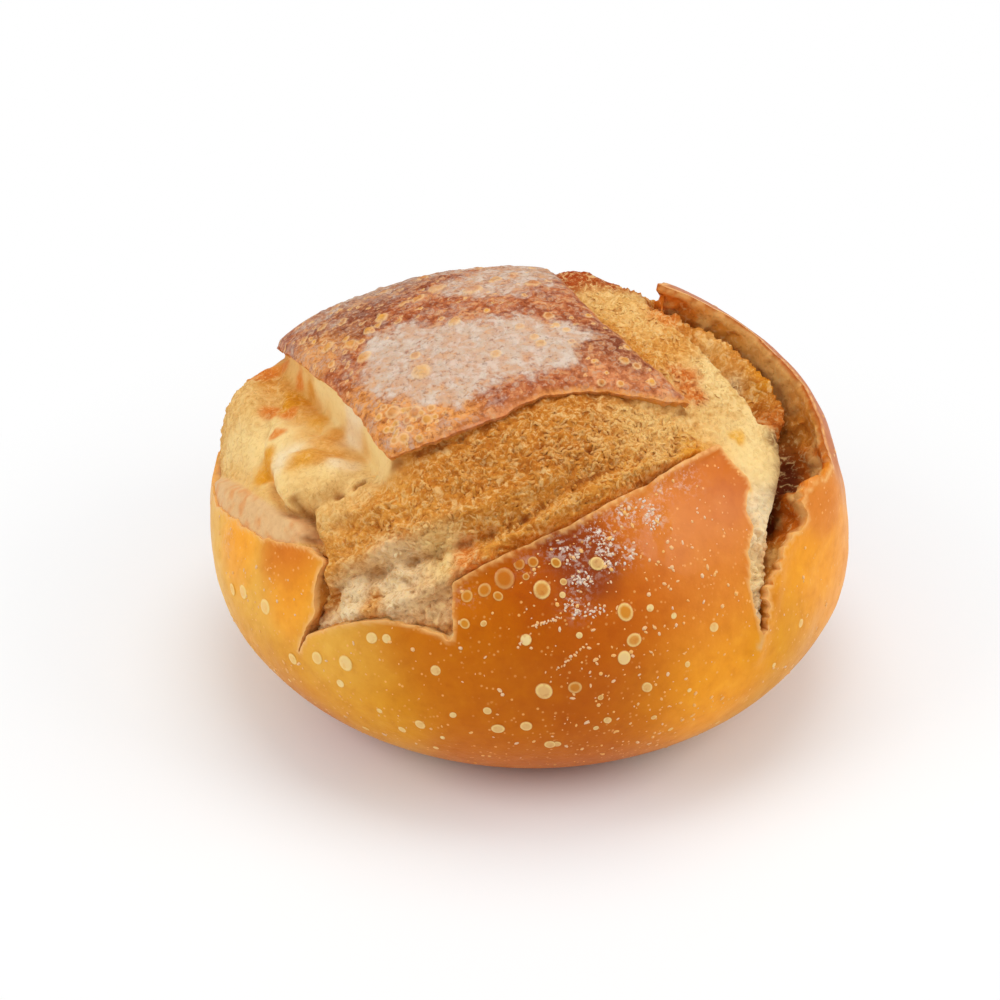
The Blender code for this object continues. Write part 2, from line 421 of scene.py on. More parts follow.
def store(obj, **layers):
    """Keeps named numbers, or colours, for each point of the object's mesh."""
    for name, values in layers.items():
        values = rows(values)
        if values.ndim == 2:
            layer = obj.data.attributes.new(name, "FLOAT_COLOR", "POINT")
            layer.data.foreach_set("color", np.c_[values, np.ones(len(values))].ravel())
        else:
            layer = obj.data.attributes.new(name, "FLOAT", "POINT")
            layer.data.foreach_set("value", values)


def dusting(places, dabs):
    """How much lies at each place, 0 to 1, from soft dabs of (x, y, reach, share)."""
    return np.clip(sum(share * bell(places, (x, y), reach) for x, y, reach, share in dabs), 0, 1)


def blend_paint(places, paint):
    """Each place's colour, from each colour's soft-edged dabs of (x, y, reach)."""
    total = np.zeros((len(places), 3))
    weight = np.zeros(len(places))
    for colour, dabs in paint.items():
        for x, y, reach in dabs:
            far = 1e-5 / (0.05 + ((places - (x, y)) ** 2).sum(1))
            share = bell(places, (x, y), reach) * (0.1 / reach) ** 2 + far
            total += share[:, None] * rows(colour)
            weight += share
    return total / weight[:, None]


def swirled(places, points, size, amount, seed):
    """The places moved about by noise, so that soft dabs of paint get uneven edges."""
    return places + amount * ripples(points, size, seed, 2)


def bubble_marks(places, bubbles):
    """For each place: how high the bubbles lift it in millimetres, how near it is to one's edge,
    and that one's tone."""
    lift, ring, tone = np.zeros(len(places)), np.ones(len(places)), np.zeros(len(places))
    for x, y, half, shade in bubbles:
        share = np.hypot(*(places - (x, y)).T) * UNIT * 1000 / half
        moat = 0.25 * np.exp(-(((share - 1.05) / 0.16) ** 2))
        lift = np.maximum(lift, half * (np.sqrt(np.clip(1 - share**2, 0, 1)) - moat))
        nearer = share < ring
        ring[nearer], tone[nearer] = share[nearer], shade
    return lift, ring, tone


def ragged(outline, step, tears):
    """The outline as many points, torn by noise. tears(places) says how far, as places."""
    outline = rows(outline)
    points = []
    for start, end in zip(outline, np.roll(outline, -1, 0)):
        count = max(1, round(np.linalg.norm(end - start) / step))
        points += [start + (end - start) * n / count for n in range(count)]
    points = rows(points)
    for _ in range(3):
        points = points * 0.5 + (np.roll(points, 1, 0) + np.roll(points, -1, 0)) * 0.25
    ahead = np.roll(points, -1, 0) - np.roll(points, 1, 0)
    side = np.stack([ahead[:, 1], -ahead[:, 0]], 1) / np.linalg.norm(ahead, axis=1)[:, None]
    flat = np.c_[points, np.zeros(len(points))]
    shift = 0.55 * ripple(flat, 0.060, 51) + 0.40 * ripple(flat, 0.022, 52) + 0.22 * ripple(flat, 0.009, 53)
    return points + side * (shift * tears(points))[:, None], side


def apply_modifier(obj, kind, **settings):
    bpy.context.view_layer.objects.active = obj
    modifier = obj.modifiers.new(kind.title(), kind)
    for key, value in settings.items():
        setattr(modifier, key, value)
    bpy.ops.object.modifier_apply(modifier=modifier.name)


def finish_piece(obj, name, material, angle=50):
    """Names a piece, gives it its material and smooth shading, and rides it on the loaf's body."""
    obj.name = obj.data.name = name
    obj.data.materials.clear()
    obj.data.materials.append(material)
    start_piece()
    obj.select_set(True)
    bpy.context.view_layer.objects.active = obj
    bpy.ops.object.shade_smooth_by_angle(angle=math.radians(angle))
    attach(obj, "root")
    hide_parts("loaf")


def make_plug(outline, side, undercut):
    """A closed plug through the crust along the outline. It cuts the torn wall, deeper under the ear."""
    down = [-0.001 * step for step in range(1, 23)]
    depths = [0.030, 0.010, 0.003, 0.0008, -0.0004, *down, -0.026, -0.031]
    lifted = crust_out(outline)
    calm = outline
    for _ in range(14):
        calm = calm * 0.5 + (np.roll(calm, 1, 0) + np.roll(calm, -1, 0)) * 0.25
    rings = [on_loaf(outline, 0.030) * (1, 1, 0) + (0, 0, 0.20)]
    for depth in depths:
        inward = np.clip(-depth, 0, 1)
        shift = undercut(outline, inward)
        rough = ease(inward, 0.0020, 0.0045)
        base = outline * (1 - rough) + calm * rough
        places = base + side * (shift / UNIT)[:, None]
        ring = on_loaf(places, lifted + depth)
        ring += (0.0003 + 0.0013 * rough) * ripples(ring, 0.0048, 61) * (inward > 0)
        ring += 0.0006 * rough * ripples(ring, 0.0019, 65)
        rings.append(ring)
    foot = rings[-1] * (0.4, 0.4, 0) + (0, 0, WIDEST - 0.012)
    rings.append(foot)
    count = len(outline)
    faces = [tuple(range(count))]
    for ring in range(len(rings) - 1):
        for n in range(count):
            m = (n + 1) % count
            a, b = ring * count, (ring + 1) * count
            faces.append((a + n, b + n, b + m, a + m))
    faces.append(tuple(range((len(rings) - 1) * count, len(rings) * count))[::-1])
    plug = new_object("plug", np.concatenate(rings), faces)
    with editing(plug.data) as work:
        bmesh.ops.recalc_face_normals(work, faces=work.faces)
    return plug


def grid_of_places(low, high, step):
    """A flat grid whose points are places, made as a plane is."""
    start_piece()
    across = max(2, round((high[0] - low[0]) / step))
    along = max(2, round((high[1] - low[1]) / step))
    bpy.ops.mesh.primitive_grid_add(x_subdivisions=across, y_subdivisions=along, size=2)
    obj = bpy.context.object
    flat = points_of(obj.data)
    middle, half = (rows(low) + rows(high)) / 2, (rows(high) - rows(low)) / 2
    flat[:, :2] = flat[:, :2] * half + middle
    set_points(obj.data, flat)
    return obj


def trim(obj, drop):
    """Deletes the faces whose middles are among those to drop, in place coordinates."""
    mesh = obj.data
    middles = np.empty(len(mesh.polygons) * 3)
    mesh.polygons.foreach_get("center", middles)
    marked = drop(middles.reshape(-1, 3)[:, :2])
    with editing(mesh) as work:
        work.faces.ensure_lookup_table()
        bmesh.ops.delete(work, geom=[work.faces[n] for n in np.flatnonzero(marked)], context="FACES")


def edge_loops(mesh):
    """The index of each point on an open edge."""
    with editing(mesh) as work:
        return np.array([vert.index for vert in work.verts if vert.is_boundary])


FOOT_SHARE = 0.82  # how wide the crumb's hidden foot is, as a share of the crumb


def close_under(obj, places, depth):
    """Closes a sheet that lies on the loaf: its inner holes are filled, and its outer edge goes
    down and is filled."""
    out_of_cap = beyond(places, CAP)
    with editing(obj.data) as work:
        rim = [edge for edge in work.edges if edge.is_boundary]
        inner = [edge for edge in rim if out_of_cap[edge.verts[0].index] < 0]
        outer = [edge for edge in rim if out_of_cap[edge.verts[0].index] >= 0]
        bmesh.ops.holes_fill(work, edges=inner, sides=0)
        grown = bmesh.ops.extrude_edge_only(work, edges=outer)["geom"]
        for vert in (item for item in grown if isinstance(item, bmesh.types.BMVert)):
            vert.co = (vert.co.x * FOOT_SHARE, vert.co.y * FOOT_SHARE, vert.co.z - depth)
        foot = [item for item in grown if isinstance(item, bmesh.types.BMEdge) and item.is_boundary]
        bmesh.ops.holes_fill(work, edges=foot, sides=0)
        bmesh.ops.recalc_face_normals(work, faces=work.faces)


def standing(x, y):
    """The point of the crust at that place, and the way square out from it."""
    spot = rows([(x, y)])
    point = on_loaf(spot, crust_out(spot))[0]
    return point, on_loaf(spot, crust_out(spot) + 0.01)[0] - point


def strew(name, pattern, spots):
    """One joined piece of many copies of a pattern. A spot is (point, outward way, turn, three
    sizes, tone)."""
    base = points_of(pattern.data)
    faces = [tuple(polygon.vertices) for polygon in pattern.data.polygons]
    points, polygons, shares, tones = [], [], [], []
    for number, (point, outward, turn, size, tone) in enumerate(spots):
        outward = outward / np.linalg.norm(outward)
        side = np.cross(outward, (0.3, 0.9, 0.1))
        side /= np.linalg.norm(side)
        up = np.cross(outward, side)
        across = side * math.cos(turn) + up * math.sin(turn)
        along = np.cross(outward, across)
        local = base * size
        points.append(point + local[:, :1] * across + local[:, 1:2] * along + local[:, 2:] * outward)
        polygons += [tuple(index + number * len(base) for index in face) for face in faces]
        shares.append(np.hypot(base[:, 0], base[:, 1]))
        tones.append(np.full(len(base), tone))
    obj = new_object(name, np.concatenate(points), polygons)
    store(obj, ring=np.concatenate(shares), tone=np.concatenate(tones))
    bpy.data.objects.remove(pattern, do_unlink=True)
    return obj


# ---------------------------------------------------------------- finishes


class Channel:
    """A shader socket that sums, products and powers can be written with."""

    def __init__(self, finish, socket):
        self.finish, self.socket = finish, socket

    def _maths(self, operation, *values):
        return self.finish.node("ShaderNodeMath", {"operation": operation}, dict(enumerate(values)))

    def __add__(self, other):
        return self._maths("ADD", self, other)

    __radd__ = __add__

    def __sub__(self, other):
        return self._maths("SUBTRACT", self, other)

    def __rsub__(self, other):
        return self._maths("SUBTRACT", other, self)

    def __mul__(self, other):
        return self._maths("MULTIPLY", self, other)

    __rmul__ = __mul__

    def between(self, start, end):
        """0 at start and before, 1 at end and after."""
        values = {"Value": self, "From Min": start, "From Max": end}
        return self.finish.node("ShaderNodeMapRange", {"clamp": True}, values)


class Finish:
    """A material for baked dough, built from its colour outwards."""

    def __init__(self, name, roughness, specular=0.12):
        self.material = bpy.data.materials.new(name)
        self.material.use_nodes = True
        self.tree = self.material.node_tree
        self.shader = self.tree.nodes["Principled BSDF"]
        self.wear(roughness=roughness, subsurface_weight=0.10, subsurface_radius=(1.0, 0.45, 0.2))
        self.wear(subsurface_scale=0.002)
        self.feed(self.shader.inputs["Specular IOR Level"], specular)
        self.place = self.node("ShaderNodeTexCoord", out="Object")

    def feed(self, socket, value):
        if isinstance(value, Channel):
            self.tree.links.new(value.socket, socket)
        elif socket.type == "RGBA":
            socket.default_value = (*value, 1.0)
        else:
            socket.default_value = value

    def node(self, kind, settings=None, values=None, out=0):
        """Any node: its type, its settings, which are set first, and what its sockets hold or are
        linked to."""
        node = self.tree.nodes.new(kind)
        for key, value in (settings or {}).items():
            setattr(node, key, value)
        for key, value in (values or {}).items():
            self.feed(node.inputs[key], value)
        return Channel(self, node.outputs[out])

    def noise(self, size, detail=3.0, roughness=0.55, distortion=0.0):
        values = {"Vector": self.place, "Scale": 1 / size, "Detail": detail}
        values |= {"Roughness": roughness, "Distortion": distortion}
        return self.node("ShaderNodeTexNoise", values=values)

    def cells(self, size):
        """The distance to the nearest of many scattered points."""
        values = {"Vector": self.place, "Scale": 1 / size, "Randomness": 1.0}
        return self.node("ShaderNodeTexVoronoi", values=values)

    def stored(self, name, colour=False):
        return self.node("ShaderNodeAttribute", {"attribute_name": name}, out="Color" if colour else "Fac")

    def mix(self, share, first, second, blend="MIX"):
        return self.node(
            "ShaderNodeMix", {"data_type": "RGBA", "blend_type": blend, "clamp_factor": True},
            {0: share, 6: first, 7: second}, out=2
        )

    def shaded(self, colour, by):
        """The colour multiplied by another one."""
        return self.mix(1.0, colour, by, "MULTIPLY")

    def wear(self, **sockets):
        """Feeds the named sockets of the shader, and gives the material."""
        for name, value in sockets.items():
            self.feed(self.shader.inputs[name.replace("_", " ").title()], value)
        return self.material

    def bumped(self, height, strength, distance):
        values = {"Strength": strength, "Distance": distance, "Height": height}
        self.wear(normal=self.node("ShaderNodeBump", values=values))


def crust_finish(colours):
    finish = Finish("baked_crust", 0.42, 0.10)
    tint = finish.stored("tint", colour=True)
    edge, flour, torn = finish.stored("edge"), finish.stored("flour"), finish.stored("torn")
    gloss = finish.stored("gloss")
    smooth = 1 - torn
    broad = finish.noise(0.030, 4)
    mottle = finish.noise(0.0050, 4, 0.6)
    fine = finish.noise(0.0011, 3, 0.6)
    darker = finish.shaded(tint, (0.80, 0.64, 0.45))
    lighter = finish.shaded(tint, (1.10, 1.25, 1.55))
    colour = finish.mix(broad.between(0.50, 0.72) * 0.45, tint, darker)
    colour = finish.mix(mottle.between(0.50, 0.70) * 0.40, colour, darker)
    colour = finish.mix(mottle.between(0.46, 0.30) * 0.45 * smooth, colour, lighter)
    dots = finish.cells(0.0032).between(0.16, 0.10) * finish.noise(0.012, 2).between(0.42, 0.58) * smooth
    colour = finish.mix(dots * 0.75, colour, colours.speck)
    dots = finish.cells(0.0021).between(0.24, 0.12) * finish.noise(0.009, 2).between(0.46, 0.60) * smooth
    colour = finish.mix(dots * 0.55, colour, colours.speck)
    wall_grain = finish.noise(0.0022, 4, 0.6, distortion=0.8)
    colour = finish.mix(wall_grain.between(0.54, 0.68) * 0.6 * torn, colour, colours.pale_crumb)
    # Painted shade in the grooves of the torn wall's grain
    grooves = wall_grain.between(0.46, 0.34) * 0.6 * torn
    colour = finish.mix(grooves, colour, finish.shaded(colour, (0.62, 0.45, 0.30)))
    colour = finish.mix(edge * finish.noise(0.004, 3).between(0.25, 0.50), colour, colours.crust_edge)
    speckle = finish.noise(0.0016, 5, 0.70)
    dust = (flour + (mottle - 0.5) * 1.6 * flour) * speckle.between(0.50, 0.60)
    shadow = flour * speckle.between(0.50, 0.38) * 0.5
    colour = finish.mix(shadow, colour, finish.shaded(colour, (0.66, 0.48, 0.40)))
    colour = finish.mix(dust, colour, colours.flour_light)
    height = mottle * 0.5 + fine * 0.2 + finish.noise(0.0022, 3) * 0.3 + wall_grain * torn * 1.5
    finish.bumped(height + dots * 0.4 + dust * 0.5, 0.40, 0.0006)
    roughness = 0.40 + dust * 0.25 + torn * 0.35 + (mottle - 0.5) * 0.25
    return finish.wear(base_color=colour, roughness=roughness, coat_weight=gloss)


def crumb_finish(colours):
    finish = Finish("torn_crumb", 0.62, 0.10)
    tint = finish.stored("tint", colour=True)
    # The painted shade of the crumb's pits, cracks and crevice
    depth = finish.stored("hollow")
    bake = finish.stored("bake")
    strands = finish.noise(0.0034, 5, 0.62, distortion=1.4)
    grain = finish.noise(0.0013, 4, 0.65, distortion=0.8)
    broad = finish.noise(0.012, 4, 0.6, distortion=0.8)
    toast = (strands.between(0.46, 0.62) * 0.65 + broad.between(0.45, 0.70) * 0.35) * bake
    colour = finish.mix(toast, tint, finish.shaded(tint, colours.toast))
    colour = finish.mix(strands.between(0.48, 0.36) * bake * 0.65, colour, colours.pale_crumb)
    colour = finish.mix(grain.between(0.56, 0.68) * (0.15 + bake * 0.45), colour, colours.pale_crumb)
    # Painted shade in the seams of the crumb's grain
    seams = grain.between(0.46, 0.34) * (0.10 + bake * 0.45)
    colour = finish.mix(seams, colour, finish.shaded(colour, (0.55, 0.38, 0.24)))
    # Painted shade: the colour is multiplied darker in the pits, cracks and crevice
    colour = finish.mix(depth, colour, finish.shaded(colour, colours.hollow))
    finish.bumped((grain * 0.5 + strands * 0.5) * (0.25 + bake * 0.75), 0.55, 0.0010)
    return finish.wear(base_color=colour, roughness=0.58 + (grain - 0.5) * 0.3)


def cap_finish(colours):
    finish = Finish("floured_cap", 0.50, 0.14)
    tint = finish.stored("tint", colour=True)
    flour, torn = finish.stored("flour"), finish.stored("torn")
    ring, tone, band = finish.stored("ring"), finish.stored("tone"), finish.stored("band")
    blotch = finish.noise(0.0040, 5, 0.65, distortion=0.4)
    fine = finish.noise(0.0016, 4, 0.68)
    rough = (1 - torn) * (1 - band * 0.5)
    browned = blotch.between(0.47, 0.58) * 0.75 * rough
    colour = finish.mix(browned, tint, finish.shaded(tint, (0.56, 0.42, 0.34)))
    colour = finish.mix(blotch.between(0.45, 0.36) * 0.60 * rough, colour, colours.pale_crust)
    pebble = finish.cells(0.0027)
    kept = finish.noise(0.0060, 2).between(0.44, 0.54) * rough
    colour = finish.mix(pebble.between(0.46, 0.36) * kept * 0.70, colour, colours.thin_flour)
    heart = finish.mix(0.45, tint, colours.blister_dark)
    colour = finish.mix(pebble.between(0.34, 0.22) * kept * 0.75, colour, heart)
    colour = finish.mix(fine.between(0.55, 0.64) * 0.70 * rough, colour, colours.thin_flour)
    darkened = finish.shaded(colour, (0.50, 0.36, 0.30))
    colour = finish.mix(fine.between(0.46, 0.37) * 0.75 * rough, colour, darkened)
    patch = finish.noise(0.0070, 4, 0.6, distortion=1.0)
    uneven = 1 + (blotch - 0.5) * 2.4 + (fine - 0.5) * 1.6 + (patch - 0.5) * 0.9
    dust = (flour * uneven).between(0.22, 0.80) * (1 - torn)
    dusted = finish.mix(patch.between(0.47, 0.60) * 0.75, colours.flour, colours.thin_flour)
    dusted = finish.mix(blotch.between(0.50, 0.62) * 0.55, dusted, colours.flour_light)
    dusted = finish.mix(fine.between(0.46, 0.34) * 0.6, dusted, colours.flour_shade)
    colour = finish.mix(dust * 0.90, colour, dusted)
    heart = finish.mix(tone, colours.blister_heart, colours.blister_dark)
    heart = finish.mix(flour * 0.40, heart, colours.flour)
    heart = finish.mix(fine.between(0.56, 0.44) * 0.40, heart, colour)
    rimmed = finish.mix(0.10 + flour * 0.30, colours.bubble_rim, colour)
    inside = (ring + (blotch - 0.5) * 0.30).between(1.0, 0.80)
    colour = finish.mix(inside * 0.85, colour, finish.mix(ring.between(0.45, 0.78), heart, rimmed))
    finish.bumped(blotch * 0.5 + fine * 0.6 + pebble.between(0.46, 0.15) * kept * 0.7, 0.60, 0.0010)
    return finish.wear(base_color=colour, roughness=0.46 + dust * 0.36)


def blister_finish(colours):
    finish = Finish("blister", 0.40, 0.20)
    ring, tone = finish.stored("ring"), finish.stored("tone")
    tint = finish.stored("tint", colour=True)
    uneven = finish.noise(0.0018, 3)
    heart = finish.mix(tone, finish.mix(0.45, tint, colours.blister_heart), colours.blister_pale)
    around = (ring + (uneven - 0.5) * 0.3).between(0.52, 0.80)
    colour = finish.mix(around * 0.80, heart, colours.blister_ring)
    colour = finish.mix(ring.between(0.84, 1.0), colour, tint)
    colour = finish.mix(uneven.between(0.52, 0.66) * 0.35, colour, tint)
    colour = finish.mix(tone.between(0.0, -1.0) * 0.75, colour, tint)
    finish.bumped(finish.noise(0.0010, 2), 0.2, 0.0003)
    return finish.wear(base_color=colour, roughness=0.36 + tone * 0.1)


def speck_finish(colours):
    finish = Finish("flour_speck", 0.55, 0.20)
    tone = finish.stored("tone")
    colour = finish.mix(tone, colours.speck, colours.flour_light)
    return finish.wear(base_color=colour, roughness=0.5 + tone * 0.2)


def strand_finish(colours):
    finish = Finish("crumb_strand", 0.60, 0.10)
    tint, tone = finish.stored("tint", colour=True), finish.stored("tone")
    grain = finish.noise(0.0012, 4, 0.6)
    colour = finish.mix(tone, tint, colours.pale_crumb)
    colour = finish.mix(grain.between(0.50, 0.36) * 0.5, colour, finish.shaded(colour, colours.toast))
    finish.bumped(grain, 0.4, 0.0006)
    return finish.wear(base_color=colour, roughness=0.55 + (grain - 0.5) * 0.3)


def table_finish(colour):
    """A matt white table that keeps the loaf's shadow, and is plain white further off to whatever
    sees it directly."""
    finish = Finish("table_top", 0.9)
    finish.wear(subsurface_weight=0.0, base_color=colour)
    path = finish.node("ShaderNodeLightPath", out="Is Camera Ray")
    mirrored = finish.node("ShaderNodeLightPath", out="Is Glossy Ray")
    through = finish.node("ShaderNodeLightPath", out="Is Transmission Ray")
    gap = finish.node("ShaderNodeVectorMath", {"operation": "LENGTH"}, {0: finish.place}, out="Value")
    share = (path + mirrored + through).between(0, 1) * gap.between(0.07, 0.25)
    glow = finish.node("ShaderNodeEmission", values={"Color": (1.0, 1.0, 1.0), "Strength": 1.0})
    both = finish.tree.nodes.new("ShaderNodeMixShader")
    finish.feed(both.inputs[0], share)
    finish.tree.links.new(finish.shader.outputs[0], both.inputs[1])
    finish.feed(both.inputs[2], glow)
    finish.tree.links.new(both.outputs[0], finish.tree.nodes["Material Output"].inputs["Surface"])
    return finish.material


# ---------------------------------------------------------------- where each colour lies

GOLD = linear(224, 150, 20)
PALE_GOLD = linear(238, 180, 72)
AMBER = linear(202, 108, 4)
CHESTNUT = linear(184, 84, 2)
RUST = linear(206, 104, 18)
RUSSET = linear(226, 132, 46)
DARK_CRUST = linear(146, 58, 10)
ORANGE = linear(250, 162, 34)
UNDERSIDE = linear(202, 146, 84)
EAR_BROWN = linear(190, 100, 34)
CREAM = linear(246, 214, 146)
BUTTER = linear(234, 186, 110)
HONEY = linear(222, 152, 60)
TOFFEE = linear(206, 132, 44)
SHELL = linear(228, 184, 130)
WHITE_CRUMB = linear(246, 224, 182)
BAKED_SPOT = linear(214, 112, 26)
BAKED_LUMP = linear(176, 74, 14)
CAP_RUST = linear(186, 100, 52)
CAP_DARK = linear(156, 84, 48)
CAP_BAND = linear(220, 138, 84)
# Painted shade: the deep brown laid into the crevice beside the ear, where shade falls
CREVICE_SHADE = linear(100, 38, 4)
# Pale grey crumb with a painted highlight, for the lump between the crest and the ear
GREY_CRUMB_HIGHLIGHT = linear(214, 192, 152)
CAP_GOLD = linear(228, 150, 72)

CRUST_PAINT = {
    GOLD: (
        (-0.46, -0.88, 0.16), (-0.6, -0.92, 0.18), (-0.88, -0.62, 0.18), (0.7, -0.68, 0.16),
        (0.0, 1.05, 0.25), (-0.85, 0.55, 0.22), (0.95, -0.75, 0.25), (1.2, 0.0, 0.3), (-1.2, 0.0, 0.3),
        (0.0, 1.35, 0.3),
    ),
    PALE_GOLD: ((-0.5, -0.76, 0.12), (-0.72, -0.52, 0.12), (-0.9, -0.3, 0.14), (-0.98, -0.05, 0.2)),
    AMBER: (
        (-0.3, -0.78, 0.14), (-0.13, -0.8, 0.16), (-0.1, -1.05, 0.2), (0.28, -1.06, 0.18),
        (0.85, 0.25, 0.25), (-0.45, 0.7, 0.22), (0.45, 0.85, 0.22), (-0.95, -0.95, 0.2), (0.0, -1.3, 0.3),
    ),
    CHESTNUT: ((0.17, -0.92, 0.18), (0.05, -0.66, 0.12), (0.02, -0.68, 0.05)),
    RUST: ((0.23, -0.7, 0.14), (0.38, -0.38, 0.1), (0.6, 0.5, 0.2), (0.0, 0.75, 0.25), (0.8, 0.62, 0.16)),
    DARK_CRUST: ((0.09, -0.625, 0.045), (0.05, -0.6, 0.03), (0.115, -0.655, 0.04)),
    RUSSET: (
        (0.32, -0.48, 0.14), (0.43, -0.65, 0.12), (0.64, -0.33, 0.05), (1.0, 0.1, 0.16),
        (-0.3, 0.95, 0.16),
    ),
    ORANGE: (
        (0.45, -0.9, 0.16), (0.55, -0.8, 0.12), (-0.62, -0.58, 0.07), (-0.76, -0.36, 0.07),
        (0.71, -0.43, 0.14), (0.88, -0.25, 0.2),
    ),
    BAKED_SPOT: ((-0.6, -0.5, 0.06),),
    EAR_BROWN: ((0.66, -0.1, 0.09), (0.52, 0.12, 0.12), (0.36, 0.2, 0.12)),
    UNDERSIDE: ((1.3, 1.3, 0.7), (-1.3, 1.3, 0.7), (1.3, -1.3, 0.7), (-1.3, -1.3, 0.7)),
}
CRUMB_PAINT = {
    TOFFEE: (
        (0.0, -0.36, 0.12), (0.1, -0.42, 0.12), (-0.1, -0.44, 0.1), (-0.2, -0.4, 0.05), (0.2, 0.32, 0.1),
        (0.53, -0.04, 0.02), (0.57, -0.5, 0.03), (-0.2, 0.46, 0.16),
    ),
    BUTTER: (
        (0.24, -0.32, 0.07), (0.36, -0.24, 0.06), (0.24, 0.04, 0.06), (0.17, 0.1, 0.06), (0.4, 0.45, 0.12),
        (0.37, 0.03, 0.03), (-0.46, -0.42, 0.07), (-0.4, -0.26, 0.03), (-0.52, -0.17, 0.03),
        (-0.66, 0.04, 0.05), (-0.72, 0.12, 0.08), (-0.74, -0.1, 0.06), (-0.7, -0.2, 0.05),
        (-0.64, -0.28, 0.04), (-0.66, 0.36, 0.12), (-0.51, 0.05, 0.03), (-0.55, 0.13, 0.03),
    ),
    HONEY: (
        (0.2, -0.4, 0.07), (-0.22, -0.44, 0.09), (-0.3, -0.5, 0.09), (-0.4, -0.52, 0.08),
        (-0.3, -0.44, 0.05), (-0.39, -0.5, 0.02), (-0.05, -0.56, 0.05), (-0.09, -0.6, 0.022),
        (-0.38, -0.68, 0.02), (0.05, -0.52, 0.04), (0.14, -0.47, 0.04), (0.12, -0.52, 0.05),
        (0.28, -0.02, 0.06), (0.14, 0.0, 0.05), (0.22, -0.1, 0.04), (0.33, 0.07, 0.03), (0.42, 0.04, 0.03),
        (-0.45, -0.28, 0.02), (-0.46, -0.2, 0.03), (-0.6, 0.12, 0.03), (-0.53, -0.06, 0.03),
        (-0.52, 0.26, 0.08), (0.1, 0.48, 0.14), (-0.515, 0.02, 0.01), (-0.47, -0.56, 0.03),
        (-0.52, -0.62, 0.03),
    ),
    RUSSET: (
        (-0.15, -0.62, 0.022), (0.28, 0.09, 0.03), (0.56, -0.08, 0.03), (0.53, -0.11, 0.03),
        (-0.62, 0.0, 0.014), (-0.625, 0.17, 0.016), (-0.59, -0.11, 0.01), (-0.57, -0.03, 0.012),
        (-0.535, 0.075, 0.012), (-0.575, 0.16, 0.012),
    ),
    WHITE_CRUMB: (
        (-0.36, -0.66, 0.06), (-0.45, -0.66, 0.06), (-0.3, -0.62, 0.05), (0.5, -0.42, 0.07),
        (0.55, -0.5, 0.05), (0.57, -0.62, 0.05), (-0.545, -0.225, 0.036), (-0.41, -0.31, 0.015),
        (-0.39, -0.21, 0.03),
    ),
    CREAM: (
        (-0.2, -0.61, 0.04), (0.42, -0.22, 0.07), (0.48, -0.28, 0.07), (0.54, -0.56, 0.06),
        (0.36, -0.1, 0.06), (-0.5, -0.22, 0.08), (-0.4, -0.34, 0.08), (-0.56, -0.1, 0.06),
        (-0.68, -0.1, 0.05), (-0.72, -0.02, 0.05), (-0.46, -0.06, 0.03), (-0.43, -0.12, 0.03),
        (-0.35, -0.3, 0.03), (-0.32, -0.37, 0.03),
    ),
    SHELL: ((-0.24, -0.7, 0.06), (-0.19, -0.72, 0.05)),
    GOLD: (
        (0.34, -0.34, 0.05), (0.5, -0.01, 0.03), (-0.49, -0.27, 0.03), (-0.5, -0.1, 0.03),
        (-0.64, -0.17, 0.02), (-0.645, -0.21, 0.02), (-0.56, 0.02, 0.03),
    ),
    PALE_GOLD: ((0.46, -0.36, 0.012), (0.44, -0.24, 0.012)),
    BAKED_LUMP: ((0.13, 0.22, 0.05), (0.06, 0.22, 0.05)),
    BAKED_SPOT: ((0.31, -0.11, 0.02), (0.33, -0.16, 0.02), (0.05, 0.34, 0.07)),
    # pale grey crumb with a painted highlight on the lump between the crest and the ear
    GREY_CRUMB_HIGHLIGHT: ((0.41, -0.01, 0.03), (0.46, -0.03, 0.03)),
    # painted shade down in the crevice beside the ear
    CREVICE_SHADE: ((0.58, -0.18, 0.04), (0.59, -0.26, 0.04), (0.58, -0.36, 0.04)),
}
CAP_PAINT = {
    CAP_RUST: (
        (-0.1, 0.0, 0.2), (0.22, -0.18, 0.07), (0.1, -0.02, 0.08), (-0.5, 0.14, 0.09), (-0.06, 0.28, 0.1),
        (0.02, -0.24, 0.04), (-0.2, 0.05, 0.05), (-0.36, -0.12, 0.04),
    ),
    CAP_DARK: (
        (0.16, -0.12, 0.1), (-0.4, 0.1, 0.08), (-0.3, 0.28, 0.1), (0.05, 0.24, 0.06), (0.19, -0.14, 0.03),
        (0.13, -0.09, 0.03),
    ),
    CAP_GOLD: (
        (-0.27, -0.33, 0.06), (-0.23, -0.3, 0.03), (-0.33, -0.24, 0.05), (-0.18, -0.31, 0.04),
        (-0.44, 0.0, 0.05),
    ),
    CAP_BAND: ((0.14, -0.21, 0.04), (0.24, -0.21, 0.03)),
}
CRUST_FLOUR = (
    (0.145, -0.586, 0.03, 0.9), (0.15, -0.628, 0.022, 0.9), (0.078, -0.619, 0.02, 0.7),
    (0.095, -0.672, 0.026, 0.8), (0.088, -0.728, 0.024, 0.6), (0.2, -0.601, 0.022, 0.6),
    (0.24, -0.515, 0.026, 0.8), (0.18, -0.52, 0.026, 0.7), (0.3, -0.42, 0.03, 0.45),
    (0.11, -0.585, 0.02, 0.6), (-0.15, -0.7, 0.02, 0.4), (0.03, -0.62, 0.02, 0.3),
    (-0.8, -0.3, 0.04, 0.25), (0.0, 0.72, 0.12, 0.5), (-0.3, 0.65, 0.1, 0.4), (0.12, -0.56, 0.024, 0.7),
    (0.18, -0.512, 0.022, 0.6), (0.25, -0.455, 0.02, 0.6), (0.05, -0.6, 0.022, 0.5),
    (-0.02, -0.64, 0.02, 0.35),
)
CRUST_GLOSS = (
    (0.1, -0.66, 0.08, 0.35), (0.25, -0.55, 0.1, 0.25), (0.4, -0.45, 0.08, 0.15), (-0.6, -0.75, 0.2, 0.12),
    (0.8, -0.5, 0.2, 0.12),
)


# ---------------------------------------------------------------- what a user may change


